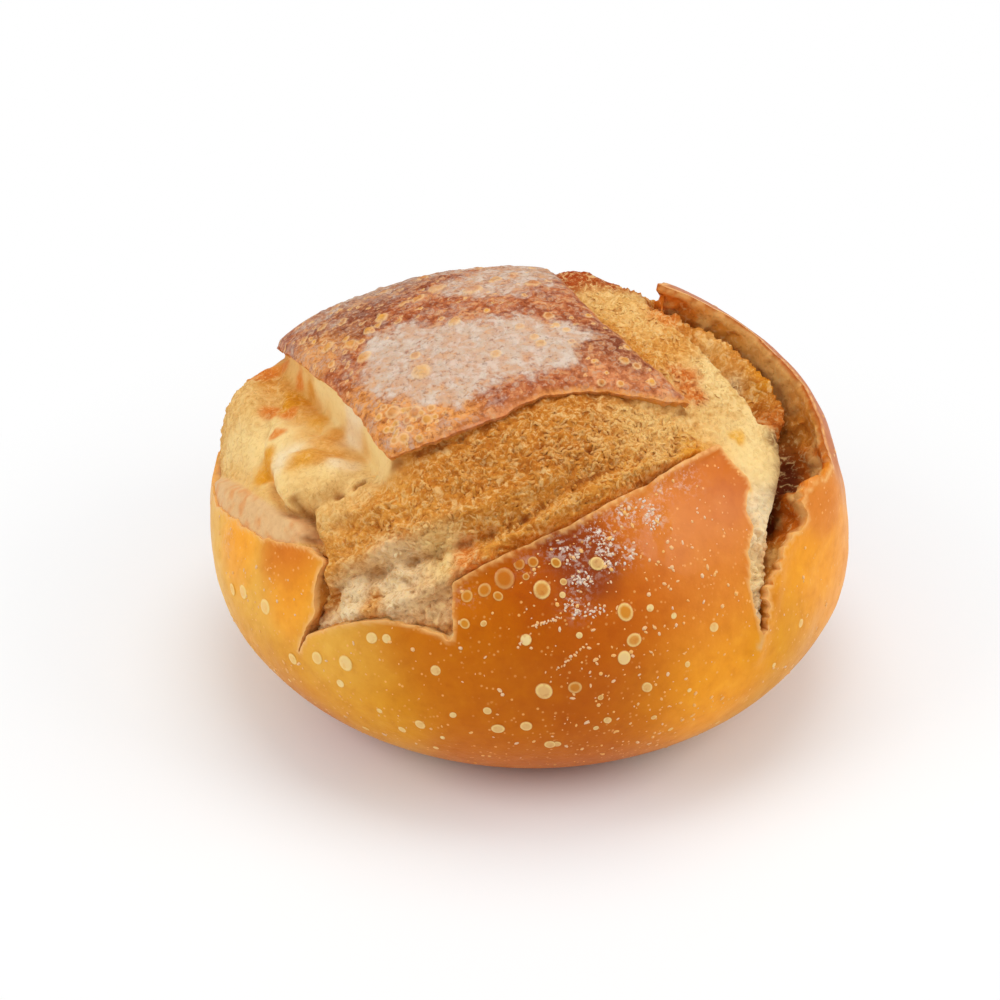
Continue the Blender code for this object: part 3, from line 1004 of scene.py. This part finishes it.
class LoafShape(bpy.types.PropertyGroup):
    crust_cuts: IntProperty(name="Crust cuts", description="How finely the crust is divided", default=131,
        min=40, max=150)
    crumb_step: FloatProperty(name="Crumb step", description="Grid spacing of the torn crumb, in places",
        default=0.0043, min=0.002, max=0.02)
    cap_step: FloatProperty(name="Cap step", description="Grid spacing of the cap, in places",
        default=0.0034, min=0.002, max=0.02)
    cap_thickness: FloatProperty(name="Cap lip", description="Thickness of the cap's crust",
        default=0.0026, unit="LENGTH")
    relief: FloatProperty(name="Crumb relief", description="How deep the torn crumb's grain is",
        default=1.0, min=0, max=3)
    bubbles: FloatProperty(name="Cap bubbles",
        description="How high the cap's bubbles stand, against their half width", default=0.30, min=0,
        max=1)
    strands: IntProperty(name="Strands", description="How many torn strands lie on the crumb", default=900,
        min=0, max=2000)


def colour_of(label, what, value):
    return FloatVectorProperty(name=label, description=what, default=value, size=3, min=0, max=1,
        subtype="COLOR")


class LoafColours(bpy.types.PropertyGroup):
    pale_crust: colour_of("Pale crust", "Light mottling on the cap", linear(226, 160, 104))
    crust_edge: colour_of("Crust edge", "The crust's torn edge", linear(242, 184, 110))
    toast: colour_of("Toast", "How the crumb darkens where it browned", (0.74, 0.54, 0.32))
    pale_crumb: colour_of("Pale crumb", "Strands and grain of the crumb", linear(242, 204, 138))
    # Painted shade: the colour the crumb is multiplied by in its pits, cracks, crevice and under the cap's
    # lip
    hollow: colour_of("Hollow", "How the crumb darkens in its pits", (0.46, 0.28, 0.14))
    flour: colour_of("Flour", "Flour lying on the crust", linear(208, 184, 162))
    thin_flour: colour_of("Thin flour", "Flour that the crust shows through", linear(206, 160, 128))
    flour_shade: colour_of("Shaded flour", "Flour in the small hollows", linear(168, 138, 120))
    flour_light: colour_of("Thick flour", "The whitest flour", linear(232, 216, 200))
    blister_heart: colour_of("Blister heart", "The middle of a blister", linear(238, 172, 56))
    blister_dark: colour_of("Dark blister", "The middle of a browned blister", linear(206, 124, 52))
    blister_pale: colour_of("Pale blister", "The middle of a pale blister", linear(246, 214, 150))
    blister_ring: colour_of("Blister ring", "The pale ring of a blister", linear(250, 214, 136))
    bubble_rim: colour_of("Bubble rim", "The pale rim of a bubble on the cap", linear(242, 198, 140))
    speck: colour_of("Speck", "Tiny bubbles in the crust", linear(248, 184, 104))


class LoafStage(bpy.types.PropertyGroup):
    table: colour_of("Table", "The table's colour", (0.93, 0.93, 0.93))
    air: FloatProperty(name="Air", description="Light from all round", default=0.45, min=0)
    left: FloatProperty(name="Left lamp", description="Power of the lamp on the left", default=3.4, min=0,
        unit="POWER")
    right: FloatProperty(name="Right lamp", description="Power of the lamp on the right", default=3.4,
        min=0, unit="POWER")
    top: FloatProperty(name="Top lamp", description="Power of the lamp above", default=3.4, min=0,
        unit="POWER")
    height: FloatProperty(name="Camera height", description="Angle of the camera above the table",
        default=math.radians(32), subtype="ANGLE")
    away: FloatProperty(name="Camera distance", description="From the camera to what it looks at",
        default=0.70, unit="LENGTH")
    lens: FloatProperty(name="Lens", description="Focal length in millimetres", default=76.0)
    aim: FloatVectorProperty(name="Aim", description="What the camera looks at",
        default=(-0.0102, 0.0, 0.055), size=3, subtype="XYZ", unit="LENGTH")


# ---------------------------------------------------------------- operators


def rim_tears(places):
    """How far the rim is torn in and out, in places."""
    wild = near(places, TORN_SIDE, 0.05)
    calm = near(places, FRONT_RIM, 0.05)
    return 0.013 + 0.020 * wild - 0.0095 * calm


def rim_undercut(places, depth):
    """How far the wall under the rim goes back, in metres, at that depth."""
    ear = near(places, EAR_RIM, 0.06)
    torn = near(places, TORN_SIDE, 0.05)
    bow = math.sin(math.pi * min(1, max(0.0, depth - 0.0027) / 0.017)) ** 0.6
    return bow * (0.0050 * ear + 0.0018 * torn)


class LOAF_OT_crust(bpy.types.Operator):
    """Makes the outer crust: a dome torn open along the cuts, with the ear standing up on its right"""

    bl_idname = "loaf.crust"
    bl_label = "Crust"

    def execute(self, context):
        shape = context.scene.loaf_shape
        start_piece()
        bpy.ops.mesh.primitive_cube_add(size=2)
        crust = context.object
        bpy.ops.object.mode_set(mode="EDIT")
        bpy.ops.mesh.select_all(action="SELECT")
        bpy.ops.mesh.subdivide(number_cuts=shape.crust_cuts)
        bpy.ops.object.mode_set(mode="OBJECT")
        cube = np.tan(points_of(crust.data) * math.pi / 4)
        places = places_towards(cube / np.linalg.norm(cube, axis=1)[:, None])
        set_points(crust.data, on_loaf(places, crust_out(places)))
        bpy.ops.object.mode_set(mode="EDIT")
        bpy.ops.mesh.select_all(action="SELECT")
        bpy.ops.mesh.bisect(plane_co=(0, 0, 0), plane_no=(0, 0, 1), use_fill=True, clear_inner=True)
        bpy.ops.object.mode_set(mode="OBJECT")
        outline, side = ragged(RIM, 0.0055, rim_tears)
        plug = make_plug(outline, side, rim_undercut)
        apply_modifier(crust, "BOOLEAN", operation="DIFFERENCE", solver="MANIFOLD", object=plug)
        bpy.data.objects.remove(plug, do_unlink=True)

        points = points_of(crust.data)
        places, out = place_of(points)
        depth = crust_out(places) - out
        by_rim = np.abs(beyond(places, RIM)) < 0.08
        torn = ease(depth, 0.0004, 0.0014) * by_rim
        tint = blend_paint(swirled(places, points, 0.010, 0.016, 72), CRUST_PAINT)
        wall = blend_paint(swirled(places, points, 0.006, 0.020, 74), WALL_PAINT)
        wall = blended(wall, BUTTER, ease(ripple(points, 0.007, 71), 0.05, 0.30) * 0.7)
        # Painted shade: the torn wall darkens towards the crevice colour the deeper it lies under the rim,
        # most down the right side
        depth_shade = ease(depth, 0.007, 0.015) * (0.35 + 0.65 * ear_depth(places))
        wall = blended(wall, CREVICE_SHADE, depth_shade)
        rim = gap_to(places, outline, closed=True)
        store(
            crust, tint=blended(tint, wall, torn), torn=torn,
            edge=np.exp(-((rim / 0.0050) ** 2)) * ease(depth, 0.0030, 0.0010),
            flour=dusting(places, CRUST_FLOUR) * (1 - torn),
            gloss=dusting(places, CRUST_GLOSS) * (1 - torn),
        )
        finish_piece(crust, "crust", crust_finish(context.scene.loaf_colours), 60)
        return {"FINISHED"}


WALL_PAINT = {
    BAKED_SPOT: ((0.25, 0.13, 0.1), (0.64, -0.2, 0.06), (0.6, -0.36, 0.06)),
    HONEY: ((0.4, 0.09, 0.1), (0.0, 0.58, 0.3), (-0.7, 0.45, 0.2)),
    BUTTER: ((0.52, 0.02, 0.08),),
    TOFFEE: ((0.6, -0.06, 0.06), (0.58, -0.55, 0.07), (-0.5, -0.6, 0.06), (0.5, 0.5, 0.2)),
    CREAM: ((0.48, -0.5, 0.05), (-0.3, -0.72, 0.1)),
    GOLD: ((0.1, -0.54, 0.12),),
    SHELL: ((-0.6, -0.48, 0.1), (-0.84, -0.1, 0.16)),
}


# Lines along which shade is painted into the crumb, in its cracks, grooves, slits and folds, inside the
# front rim and under the cap's lip: the line, half width as places, and how strong the shade is
SHADE_LINES = (
    (LEFT_CRACK, 0.014, 1.0), (GROOVE[:7], 0.009, 0.75), (GROOVE[6:], 0.007, 0.7),
    (LEFT_CREASE, 0.008, 0.7), (SLITS, 0.006, 0.8), (SLIT_RIGHT, 0.005, 0.9), (SHOULDER_FOLD, 0.01, 0.3),
    (FRONT_RIM[2:], 0.006, 0.35), (CAP[6:17], 0.01, 0.75),
)


class LOAF_OT_crumb(bpy.types.Operator):
    """Makes the crumb that swelled out of the cuts: its torn grain, folds, cracks and wall by the cap"""

    bl_idname = "loaf.crumb"
    bl_label = "Crumb"

    def execute(self, context):
        shape = context.scene.loaf_shape
        crumb = grid_of_places((-0.93, -0.86), (0.72, 0.73), shape.crumb_step)
        trim(crumb, lambda middles: (beyond(middles, RIM) > 0.035) | (beyond(middles, CAP) < -0.035))
        places = points_of(crumb.data)[:, :2]
        out = crumb_out(places)
        points = on_loaf(places, out)
        shown = ease(beyond(places, CAP), -0.01, 0.01)
        wall = near(places, CAP_LEFT, 0.045)
        relief = crumb_relief(places, points) * shape.relief * shown * (1 - 0.75 * wall)
        set_points(crumb.data, on_loaf(places, out + relief))
        facet = ease(-beyond(places, FACET), -0.012, 0.002)
        baked = ripple(points, 0.007, 104) + 0.5 * ripple(points, 0.0025, 105)
        shell = blended(rows(SHELL), RUSSET, 0.5 * ease(baked, -0.1, 0.6))
        tint = blend_paint(swirled(places, points, 0.007, 0.014, 76), CRUMB_PAINT)
        # Painted shade: the crumb darkens where its relief sinks, along the shaded lines, and down the
        # crevice past the crest
        hollow = ease(-relief, 0.0003, 0.0016) * (1 - wall)
        for line, reach, share in SHADE_LINES:
            hollow += share * near(places, line, reach) * ease(ripple(points, 0.005, 81), -0.25, 0.30)
        patchy = 1 - 0.4 * ease(ripple(points, 0.006, 82), 0.1, 0.5)
        hollow += 0.9 * ease(past_crest(places), 0.010, 0.045) * ear_depth(places) * patchy
        calm = bell(places, (-0.60, -0.20), 0.24) + bell(places, (0.46, -0.32), 0.12) + wall + facet
        store(
            crumb, tint=blended(tint, shell, facet), hollow=hollow.clip(0, 1),
            bake=1 - 0.80 * calm.clip(0, 1),
        )
        close_under(crumb, places, 0.012)
        finish_piece(crumb, "crumb", crumb_finish(context.scene.loaf_colours), 75)
        return {"FINISHED"}


# The cap's larger bubbles: place, half width in millimetres, and how brown
CAP_BUBBLES = (
    (-0.292, 0.044, 2.7, 0.1), (-0.318, 0.008, 2.3, 0.2), (-0.405, 0.003, 2.8, 0.3),
    (-0.354, -0.019, 2.3, 0.5), (-0.325, -0.084, 3.0, 0.4), (-0.42, 0.101, 2.3, 0.7),
    (-0.374, 0.085, 2.0, 0.8), (-0.465, 0.086, 2.2, 0.5), (-0.22, 0.094, 2.6, 0.6),
    (-0.183, 0.137, 3.6, 0.7), (-0.248, 0.088, 2.2, 0.6), (-0.221, -0.128, 2.0, 0.7),
    (-0.209, -0.183, 3.6, 0.0), (-0.221, -0.289, 2.8, 0.9), (-0.198, -0.311, 2.0, 0.4),
    (-0.263, -0.276, 2.8, 0.6), (-0.275, -0.317, 1.5, 0.1), (-0.258, -0.308, 1.6, 0.2),
    (-0.243, -0.345, 2.0, 0.3), (-0.215, -0.35, 1.4, 0.2), (-0.232, -0.326, 1.5, 0.4),
    (-0.292, -0.279, 1.6, 0.3), (-0.262, -0.346, 1.5, 0.5), (-0.114, 0.094, 3.8, 1.0),
    (0.002, 0.101, 2.9, 0.9), (-0.036, 0.173, 2.0, 0.8), (-0.069, 0.142, 2.4, 0.4),
    (-0.024, -0.073, 1.7, 0.5), (-0.069, -0.155, 2.0, 0.4), (0.014, -0.129, 1.8, 0.1),
    (0.061, -0.084, 1.4, 0.2), (0.03, -0.036, 2.0, 0.8), (-0.146, -0.041, 2.4, 0.3),
    (0.168, -0.16, 2.0, 0.5), (0.192, -0.168, 1.6, 0.7), (-0.3, 0.2, 2.6, 0.8), (-0.4, 0.2, 2.4, 0.9),
    (-0.22, 0.24, 2.8, 0.8), (-0.1, 0.26, 2.4, 0.7), (-0.48, 0.2, 2.0, 0.7),
)


def bubble_chance(x, y):
    """How likely a small bubble is to be kept there."""
    place = rows([(x, y)])
    corner = bell(place, (-0.25, -0.32), 0.08) + 0.6 * bell(place, (-0.42, 0.06), 0.14)
    corner += 0.5 * bell(place, (0.16, -0.14), 0.10)
    bare = float(beyond(place, FLOUR_MAIN)[0] > 0.0)
    return float((beyond(place, CAP) < -0.012)[0]) * min(1.0, 0.07 + 0.26 * bare + 0.8 * float(corner[0]))


def cap_flour(places, points):
    """Where flour lies on the cap: a dense patch in the middle and a thinner one at the back."""
    wander = 0.034 * ripple(points, 0.011, 98) + 0.018 * ripple(points, 0.0035, 99)
    middle = ease(-(beyond(places, FLOUR_MAIN) + wander), -0.030, 0.034)
    middle *= 0.88 + 0.30 * ripple(points, 0.008, 100)
    back = ease(-(beyond(places, FLOUR_BACK) + wander), -0.034, 0.034)
    thin = 0.34 * near(places, CAP_BACK, 0.10) + 0.24 - 0.16 * ease(places[:, 0], 0.0, 0.14)
    thin += 0.26 * ripple(points, 0.008, 101)
    return np.clip(np.maximum(np.maximum(middle, 0.70 * back), thin), 0, 1)


class LOAF_OT_cap(bpy.types.Operator):
    """Makes the cap: the square of floured crust between the cuts, with a thin lip and a bubbly top"""

    bl_idname = "loaf.cap"
    bl_label = "Cap"

    def execute(self, context):
        shape = context.scene.loaf_shape
        outline, _ = ragged(CAP, 0.004, lambda places: np.full(len(places), 0.0085))
        cap = grid_of_places((-0.63, -0.42), (0.37, 0.42), shape.cap_step)
        trim(cap, lambda middles: beyond(middles, outline[::3]) > 0)
        flat = points_of(cap.data)
        places = flat[:, :2]
        rim = edge_loops(cap.data)
        places[rim] = nearest_on(places[rim], outline, closed=True)[1]
        inward = -beyond(places, outline[::3])
        points = on_loaf(places)
        dice = np.random.default_rng(11)
        bubbles = CAP_BUBBLES + tuple(
            (x, y, half, tone)
            for (x, y), half, tone in zip(
                dice.uniform((-0.60, -0.40), (0.33, 0.40), (900, 2)),
                0.6 + 1.1 * dice.uniform(0, 1, 900) ** 2,
                dice.uniform(0, 1, 900),
            )
            if dice.uniform() < bubble_chance(x, y)
        )
        lift, _, _ = bubble_marks(places, bubbles)
        flour = cap_flour(places, points)
        bare = 1 - 0.55 * flour
        pimples = np.clip(billow(warped(points, 0.006, 0.0015, 91), 0.0040, 92), 0, 1) ** 0.7
        small = billow(warped(points, 0.003, 0.0008, 93), 0.0021, 94)
        relief = bare * (0.00070 * (pimples - 0.4) + 0.00045 * (small - 0.4))
        relief += 0.00012 * ripple(points, 0.0011, 95)
        relief *= ease(inward, 0.018, 0.045)
        relief += shape.bubbles * lift / 1000 * ease(inward, 0.004, 0.014)
        fall = -0.0012 * (1 - ease(inward, 0.0, 0.018))
        set_points(cap.data, on_loaf(places, cap_out(places) + relief + fall))
        apply_modifier(cap, "SOLIDIFY", thickness=shape.cap_thickness, offset=-1.0)

        points = points_of(cap.data)
        places, out = place_of(points)
        depth = cap_out(places) - out
        inward = -beyond(places, outline[::3])
        torn = ease(depth, 0.0016, 0.0026)
        tint = blend_paint(swirled(places, points, 0.008, 0.016, 97), CAP_PAINT)
        tint = blended(tint, HONEY, torn)
        narrow = 1 - 0.55 * ease(places[:, 0], -0.12, 0.12)
        wander = 0.006 * ripple(points, 0.0045, 102)
        front = ease(inward + wander, 0.028 * narrow, 0.010 * narrow) * near(places, CAP[9:17], 0.05)
        fibres = 0.75 + 0.45 * ripple(points * (0.5, 1.6, 1.6), 0.0022, 103)
        lip = (front * 0.85 * fibres + 0.5 * np.exp(-((inward / 0.006) ** 2))) * (1 - torn)
        lip = lip.clip(0, 1)
        band = blended(rows(CAP_BAND), CAP_GOLD, ease(places[:, 0], -0.10, 0.10))
        _, ring, tone = bubble_marks(places, bubbles)
        store(
            cap, tint=blended(tint, band, lip), torn=torn, band=lip,
            ring=np.where(depth < 0.0012, ring, 1.0), tone=tone,
            flour=cap_flour(places, points) * (1 - torn) * (1 - lip),
        )
        finish_piece(cap, "cap", cap_finish(context.scene.loaf_colours), 75)
        return {"FINISHED"}


# The crust's blisters: place, half width in millimetres, and how pale
CRUST_BLISTERS = (
    (0.014, -0.693, 2.8, 0.1), (0.202, -0.729, 2.7, 0.0), (0.234, -0.789, 2.3, 0.1),
    (0.217, -0.833, 2.2, 0.8), (0.023, -0.929, 2.7, 0.5), (0.103, -0.917, 2.1, -0.4),
    (-0.503, -0.794, 2.6, 0.7), (-0.597, -0.753, 2.2, 0.5), (-0.022, -0.803, 1.8, 1.0),
    (-0.108, -1.043, 2.0, 0.5), (-0.025, -1.034, 1.9, 0.5), (-0.066, -0.668, 3.2, -0.8),
    (-0.11, -0.69, 2.1, -0.6), (-0.15, -0.7, 1.9, -0.5), (-0.005, -0.634, 1.7, -0.5),
    (-0.034, -0.638, 1.8, -0.7), (0.043, -0.635, 1.6, -0.1), (0.129, -0.632, 2.2, 0.4),
    (0.259, -0.712, 1.2, 0.9), (0.322, -0.719, 1.0, 0.9), (-0.16, -0.759, 1.6, -0.2),
    (-0.081, -0.705, 1.5, -0.4), (-0.8, -0.47, 2.4, 0.5), (-0.72, -0.56, 2.6, 0.5),
    (-0.86, -0.42, 2.0, 0.4), (0.44, -0.72, 1.6, 0.6), (-0.4, -0.755, 1.9, 0.7), (-0.36, -0.765, 1.5, 0.7),
    (0.3, -0.9, 1.8, 0.4), (-0.25, -0.86, 1.7, 0.6), (0.05, -1.12, 1.9, 0.4), (-0.35, -1.02, 1.8, 0.5),
    (-0.7, -0.72, 1.9, 0.5), (0.06, -0.675, 1.1, 0.3), (-0.02, -0.665, 1.1, -0.4),
)
# Where the whitest flour lies in lumps, and the two raised scratches of tiny bubbles
FLOUR_LUMPS = (
    (0.223, -0.495), (0.247, -0.528), (0.145, -0.586), (0.15, -0.628), (0.078, -0.619), (0.086, -0.672),
    (0.108, -0.673), (0.082, -0.721), (0.095, -0.743), (0.135, -0.735), (0.2, -0.601), (0.14, -0.605),
    (0.23, -0.51),
)
SCRATCHES = (
    ((-0.005, -0.774), (0.059, -0.753)), ((0.053, -0.873), (0.119, -0.811)),
    ((-0.04, -0.815), (-0.015, -0.79)),
)


class LOAF_OT_blisters(bpy.types.Operator):
    """Sets blisters into the crust, and specks of flour and tiny bubbles among them"""

    bl_idname = "loaf.blisters"
    bl_label = "Blisters and specks"

    def execute(self, context):
        dice = np.random.default_rng(7)
        colours = context.scene.loaf_colours
        start_piece()
        bpy.ops.mesh.primitive_uv_sphere_add(segments=16, ring_count=10, radius=1.0)
        loose = dice.uniform((-1.0, -1.15), (0.75, -0.45), (150, 2))
        loose = loose[(beyond(loose, RIM) > 0.05) & (np.hypot(*loose.T) < 1.25)][:26]
        behind = dice.uniform((-1.1, -0.1), (1.1, 1.1), (90, 2))
        behind = behind[(beyond(behind, RIM) > 0.06) & (np.hypot(*behind.T) < 1.2)][:34]
        loose = np.concatenate([loose, behind])
        listed = CRUST_BLISTERS + tuple(
            (x, y, dice.uniform(0.7, 1.5), dice.uniform(0.2, 1.0)) for x, y in loose
        )
        spots = []
        for x, y, half, pale in listed:
            point, outward = standing(x, y)
            squeeze = dice.uniform(0.90, 1.08)
            size = rows((half * squeeze, half / squeeze, half * dice.uniform(0.11, 0.18))) / 1000
            spots.append((point, outward, dice.uniform(0, 6.28), size, pale))
        blisters = strew("blisters", context.object, spots)
        places, _ = place_of(points_of(blisters.data))
        store(blisters, tint=blend_paint(places, CRUST_PAINT))
        finish_piece(blisters, "blisters", blister_finish(colours), 80)

        start_piece()
        bpy.ops.mesh.primitive_ico_sphere_add(subdivisions=1, radius=1.0)
        pattern = context.object
        tries = dice.uniform(-1.3, 1.3, (9000, 2))
        dense = bell(tries, (0.20, -0.66), 0.22) + 0.5 * bell(tries, (0.3, -0.85), 0.3)
        dense += 0.4 * bell(tries, (-0.75, -0.5), 0.25)
        kept = dice.uniform(0, 1, len(tries)) < 0.10 + 0.9 * dense.clip(0, 1)
        kept &= (np.hypot(*tries.T) < 1.35) & (beyond(tries, RIM) > 0.014)
        seeds = [(place, 0.00024 + 0.0006 * dice.uniform(0, 1) ** 2.5, dice.uniform(0, 0.7) ** 2)
            for place in tries[kept]]
        for centre in FLOUR_LUMPS:
            for place in rows(centre) + dice.normal(0, 0.010, (14, 2)):
                seeds.append((place, dice.uniform(0.00018, 0.00055), dice.uniform(0.4, 1.0)))
        for start, end in SCRATCHES:
            for share in np.linspace(0, 1, 14):
                place = rows(start) * (1 - share) + rows(end) * share + dice.normal(0, 0.0016, 2)
                seeds.append((place, dice.uniform(0.0003, 0.0006), dice.uniform(0.1, 0.5)))
        spots = []
        for place, half, tone in seeds:
            point, outward = standing(*place)
            stretch = dice.uniform(0.7, 1.5)
            size = rows((half * stretch, half / stretch, half * 0.32))
            spots.append((point, outward, dice.uniform(0, 6.28), size, tone))
        specks = strew("specks", pattern, spots)
        finish_piece(specks, "specks", speck_finish(colours), 80)
        return {"FINISHED"}


# Where strands lie: the outline of the field, and its share of them
STRAND_FIELDS = (
    (((-0.4, -0.52), (-0.29, -0.42), (-0.2, -0.4), (0.01, -0.3), (0.13, -0.27), (0.31, -0.255),
            (0.35, -0.3), (0.22, -0.42), (0.02, -0.52), (-0.15, -0.57), (-0.3, -0.59)), 0.42),
    (((0.02, -0.31), (0.14, -0.27), (0.3, -0.26), (0.34, -0.3), (0.24, -0.4), (0.12, -0.45),
            (0.02, -0.42)), 0.32),
    (((0.08, 0.16), (0.14, 0.02), (0.2, -0.08), (0.31, -0.2), (0.4, -0.17), (0.35, -0.05), (0.24, 0.08),
            (0.14, 0.2)), 0.16),
    (((-0.14, -0.6), (0.02, -0.545), (0.12, -0.5), (0.3, -0.37), (0.27, -0.36), (0.1, -0.47),
            (-0.1, -0.57)), 0.06),
    (((0.28, 0.075), (0.4, 0.045), (0.5, 0.0), (0.56, -0.07), (0.52, -0.08), (0.44, -0.04), (0.36, 0.02)),
        0.04),
)


def strand_mesh(name, seeds, sides=5, stations=7):
    """One joined piece of short bent strands that lie half sunk in the crumb. A seed is
    (place, way, bend, length, half width)."""
    places, ways, bends, lengths, halves = (np.array(column) for column in zip(*seeds))
    count = len(seeds)
    along = np.linspace(-0.5, 0.5, stations)
    turn = ways[:, None] + bends[:, None] * along
    step = np.stack([np.cos(turn), np.sin(turn)], 2) * (lengths / UNIT / (stations - 1))[:, None, None]
    path = places[:, None] + np.cumsum(step, 1) - step.sum(1, keepdims=True) / 2
    flat = path.reshape(-1, 2)
    out = crumb_out(flat)
    out += crumb_relief(flat, on_loaf(flat, out))
    size = (np.sqrt(np.clip(1 - (2.05 * along) ** 2, 0.05, 1))[None] * halves[:, None]).ravel()
    arch = (np.cos(math.pi * along)[None] * halves[:, None] * 0.6 - halves[:, None] * 0.35).ravel()
    middle = on_loaf(flat, out + arch)
    upward = on_loaf(flat, out + arch + 0.01) - middle
    upward /= np.linalg.norm(upward, axis=1)[:, None]
    ahead = np.gradient(middle.reshape(count, stations, 3), axis=1).reshape(-1, 3)
    across = np.cross(ahead, upward)
    across /= np.linalg.norm(across, axis=1)[:, None]
    angles = np.arange(sides) * 2 * math.pi / sides
    ring = across[:, None] * np.cos(angles)[None, :, None]
    ring += upward[:, None] * np.sin(angles)[None, :, None] * 0.8
    points = middle[:, None] + ring * size[:, None, None]
    faces = []
    for strand in range(count):
        first = strand * stations * sides
        for station in range(stations - 1):
            for n in range(sides):
                a, b = first + station * sides + n, first + station * sides + (n + 1) % sides
                faces.append((a, b, b + sides, a + sides))
        faces.append(tuple(range(first + sides - 1, first - 1, -1)))
        last = first + (stations - 1) * sides
        faces.append(tuple(range(last, last + sides)))
    strands = new_object(name, points.reshape(-1, 3), faces)
    with editing(strands.data) as work:
        bmesh.ops.recalc_face_normals(work, faces=work.faces)
    return strands, np.repeat(flat, sides, 0)


class LOAF_OT_strands(bpy.types.Operator):
    """Lays torn strands over the crumb that swelled out of the cuts"""

    bl_idname = "loaf.strands"
    bl_label = "Strands"

    def execute(self, context):
        dice = np.random.default_rng(5)
        seeds = []
        for outline, share in STRAND_FIELDS:
            low, high = rows(outline).min(0), rows(outline).max(0)
            tries = dice.uniform(low, high, (6000, 2))
            tries = tries[beyond(tries, outline) < 0][: round(share * context.scene.loaf_shape.strands)]
            for place in tries:
                swirl = ripple(on_loaf(rows([place])), 0.016, 101)[0]
                way = -0.9 + 2.6 * swirl + dice.normal(0, 0.7)
                bend, length = dice.normal(0, 2.3), dice.uniform(0.0014, 0.0040)
                seeds.append((place, way, bend, length, dice.uniform(0.00030, 0.00058)))
        strands, places = strand_mesh("strands", seeds)
        tone = np.repeat(dice.uniform(0, 0.5, len(seeds)), len(places) // len(seeds))
        tint = blend_paint(swirled(places, on_loaf(places), 0.007, 0.014, 76), CRUMB_PAINT)
        store(strands, tint=tint, tone=tone)
        finish_piece(strands, "strands", strand_finish(context.scene.loaf_colours), 80)
        return {"FINISHED"}


def add_lamp(name, place, size, power):
    start_piece()
    bpy.ops.object.light_add(type="AREA", location=place)
    lamp = bpy.context.object
    lamp.name = name
    lamp.data.shape = "DISK"
    lamp.data.size = size
    lamp.data.energy = power
    towards = rows((0, 0, 0.06)) - rows(place)
    tilt = math.acos(-towards[2] / np.linalg.norm(towards))
    lamp.rotation_euler = (tilt, 0, math.atan2(towards[1], towards[0]) - math.pi / 2)


class LOAF_OT_stage(bpy.types.Operator):
    """Lays the pale table, hangs the soft lamps and sets the camera"""

    bl_idname = "loaf.stage"
    bl_label = "Stage"

    def execute(self, context):
        stage = context.scene.loaf_stage
        start_piece()
        bpy.ops.mesh.primitive_plane_add(size=6.0, location=(0, 0, 0))
        table = context.object
        table.name = "table"
        table.data.materials.append(table_finish(tuple(stage.table)))

        world = bpy.data.worlds.new("studio")
        world.use_nodes = True
        context.scene.world = world
        nodes, links = world.node_tree.nodes, world.node_tree.links
        air = nodes["Background"]
        air.inputs["Strength"].default_value = stage.air
        air.inputs["Color"].default_value = (1, 1, 1, 1)
        backdrop = nodes.new("ShaderNodeBackground")
        path = nodes.new("ShaderNodeLightPath")
        either = nodes.new("ShaderNodeMath")
        either.operation = "MAXIMUM"
        both = nodes.new("ShaderNodeMixShader")
        links.new(path.outputs["Is Camera Ray"], either.inputs[0])
        links.new(path.outputs["Is Transmission Ray"], either.inputs[1])
        links.new(either.outputs[0], both.inputs[0])
        links.new(air.outputs[0], both.inputs[1])
        links.new(backdrop.outputs[0], both.inputs[2])
        backdrop.inputs["Color"].default_value = (1, 1, 1, 1)
        links.new(both.outputs[0], nodes["World Output"].inputs["Surface"])

        add_lamp("left_lamp", (-0.75, -0.35, 0.65), 0.6, stage.left)
        add_lamp("right_lamp", (0.80, -0.20, 0.60), 0.6, stage.right)
        add_lamp("top_lamp", (0.05, 0.15, 1.00), 0.7, stage.top)

        aim = rows(stage.aim)
        place = aim + stage.away * rows((0, -math.cos(stage.height), math.sin(stage.height)))
        bpy.ops.object.camera_add(location=tuple(place), rotation=(math.pi / 2 - stage.height, 0, 0))
        camera = context.object
        camera.name = "camera"
        camera.data.lens = stage.lens
        camera.data.sensor_width = 36
        camera.data.clip_start = 0.01
        context.scene.camera = camera
        context.scene.view_settings.view_transform = "Standard"
        return {"FINISHED"}


class LOAF_PT_panel(bpy.types.Panel):
    """Lists the loaf's pieces and what may be changed"""

    bl_label = "Sourdough loaf"
    bl_idname = "LOAF_PT_panel"
    bl_space_type = "VIEW_3D"
    bl_region_type = "UI"
    bl_category = "Loaf"

    def draw(self, context):
        for operator in OPERATORS:
            self.layout.operator(operator.bl_idname)
        for group in (context.scene.loaf_shape, context.scene.loaf_colours, context.scene.loaf_stage):
            column = self.layout.column()
            for name in group.bl_rna.properties.keys():
                if name not in ("rna_type", "name"):
                    column.prop(group, name)


OPERATORS = (LOAF_OT_crust, LOAF_OT_crumb, LOAF_OT_strands, LOAF_OT_cap, LOAF_OT_blisters, LOAF_OT_stage)
GROUPS = (LoafShape, LoafColours, LoafStage)


def register():
    for kind in (*GROUPS, *OPERATORS, LOAF_PT_panel):
        bpy.utils.register_class(kind)
    bpy.types.Scene.loaf_shape = PointerProperty(type=LoafShape)
    bpy.types.Scene.loaf_colours = PointerProperty(type=LoafColours)
    bpy.types.Scene.loaf_stage = PointerProperty(type=LoafStage)


def unregister():
    del bpy.types.Scene.loaf_shape, bpy.types.Scene.loaf_colours, bpy.types.Scene.loaf_stage
    for kind in reversed((*GROUPS, *OPERATORS, LOAF_PT_panel)):
        bpy.utils.unregister_class(kind)


def main():
    register()
    bpy.ops.loaf.crust()
    bpy.ops.loaf.crumb()
    bpy.ops.loaf.strands()
    bpy.ops.loaf.cap()
    bpy.ops.loaf.blisters()
    bpy.ops.loaf.stage()


if __name__ == "__main__":
    main()
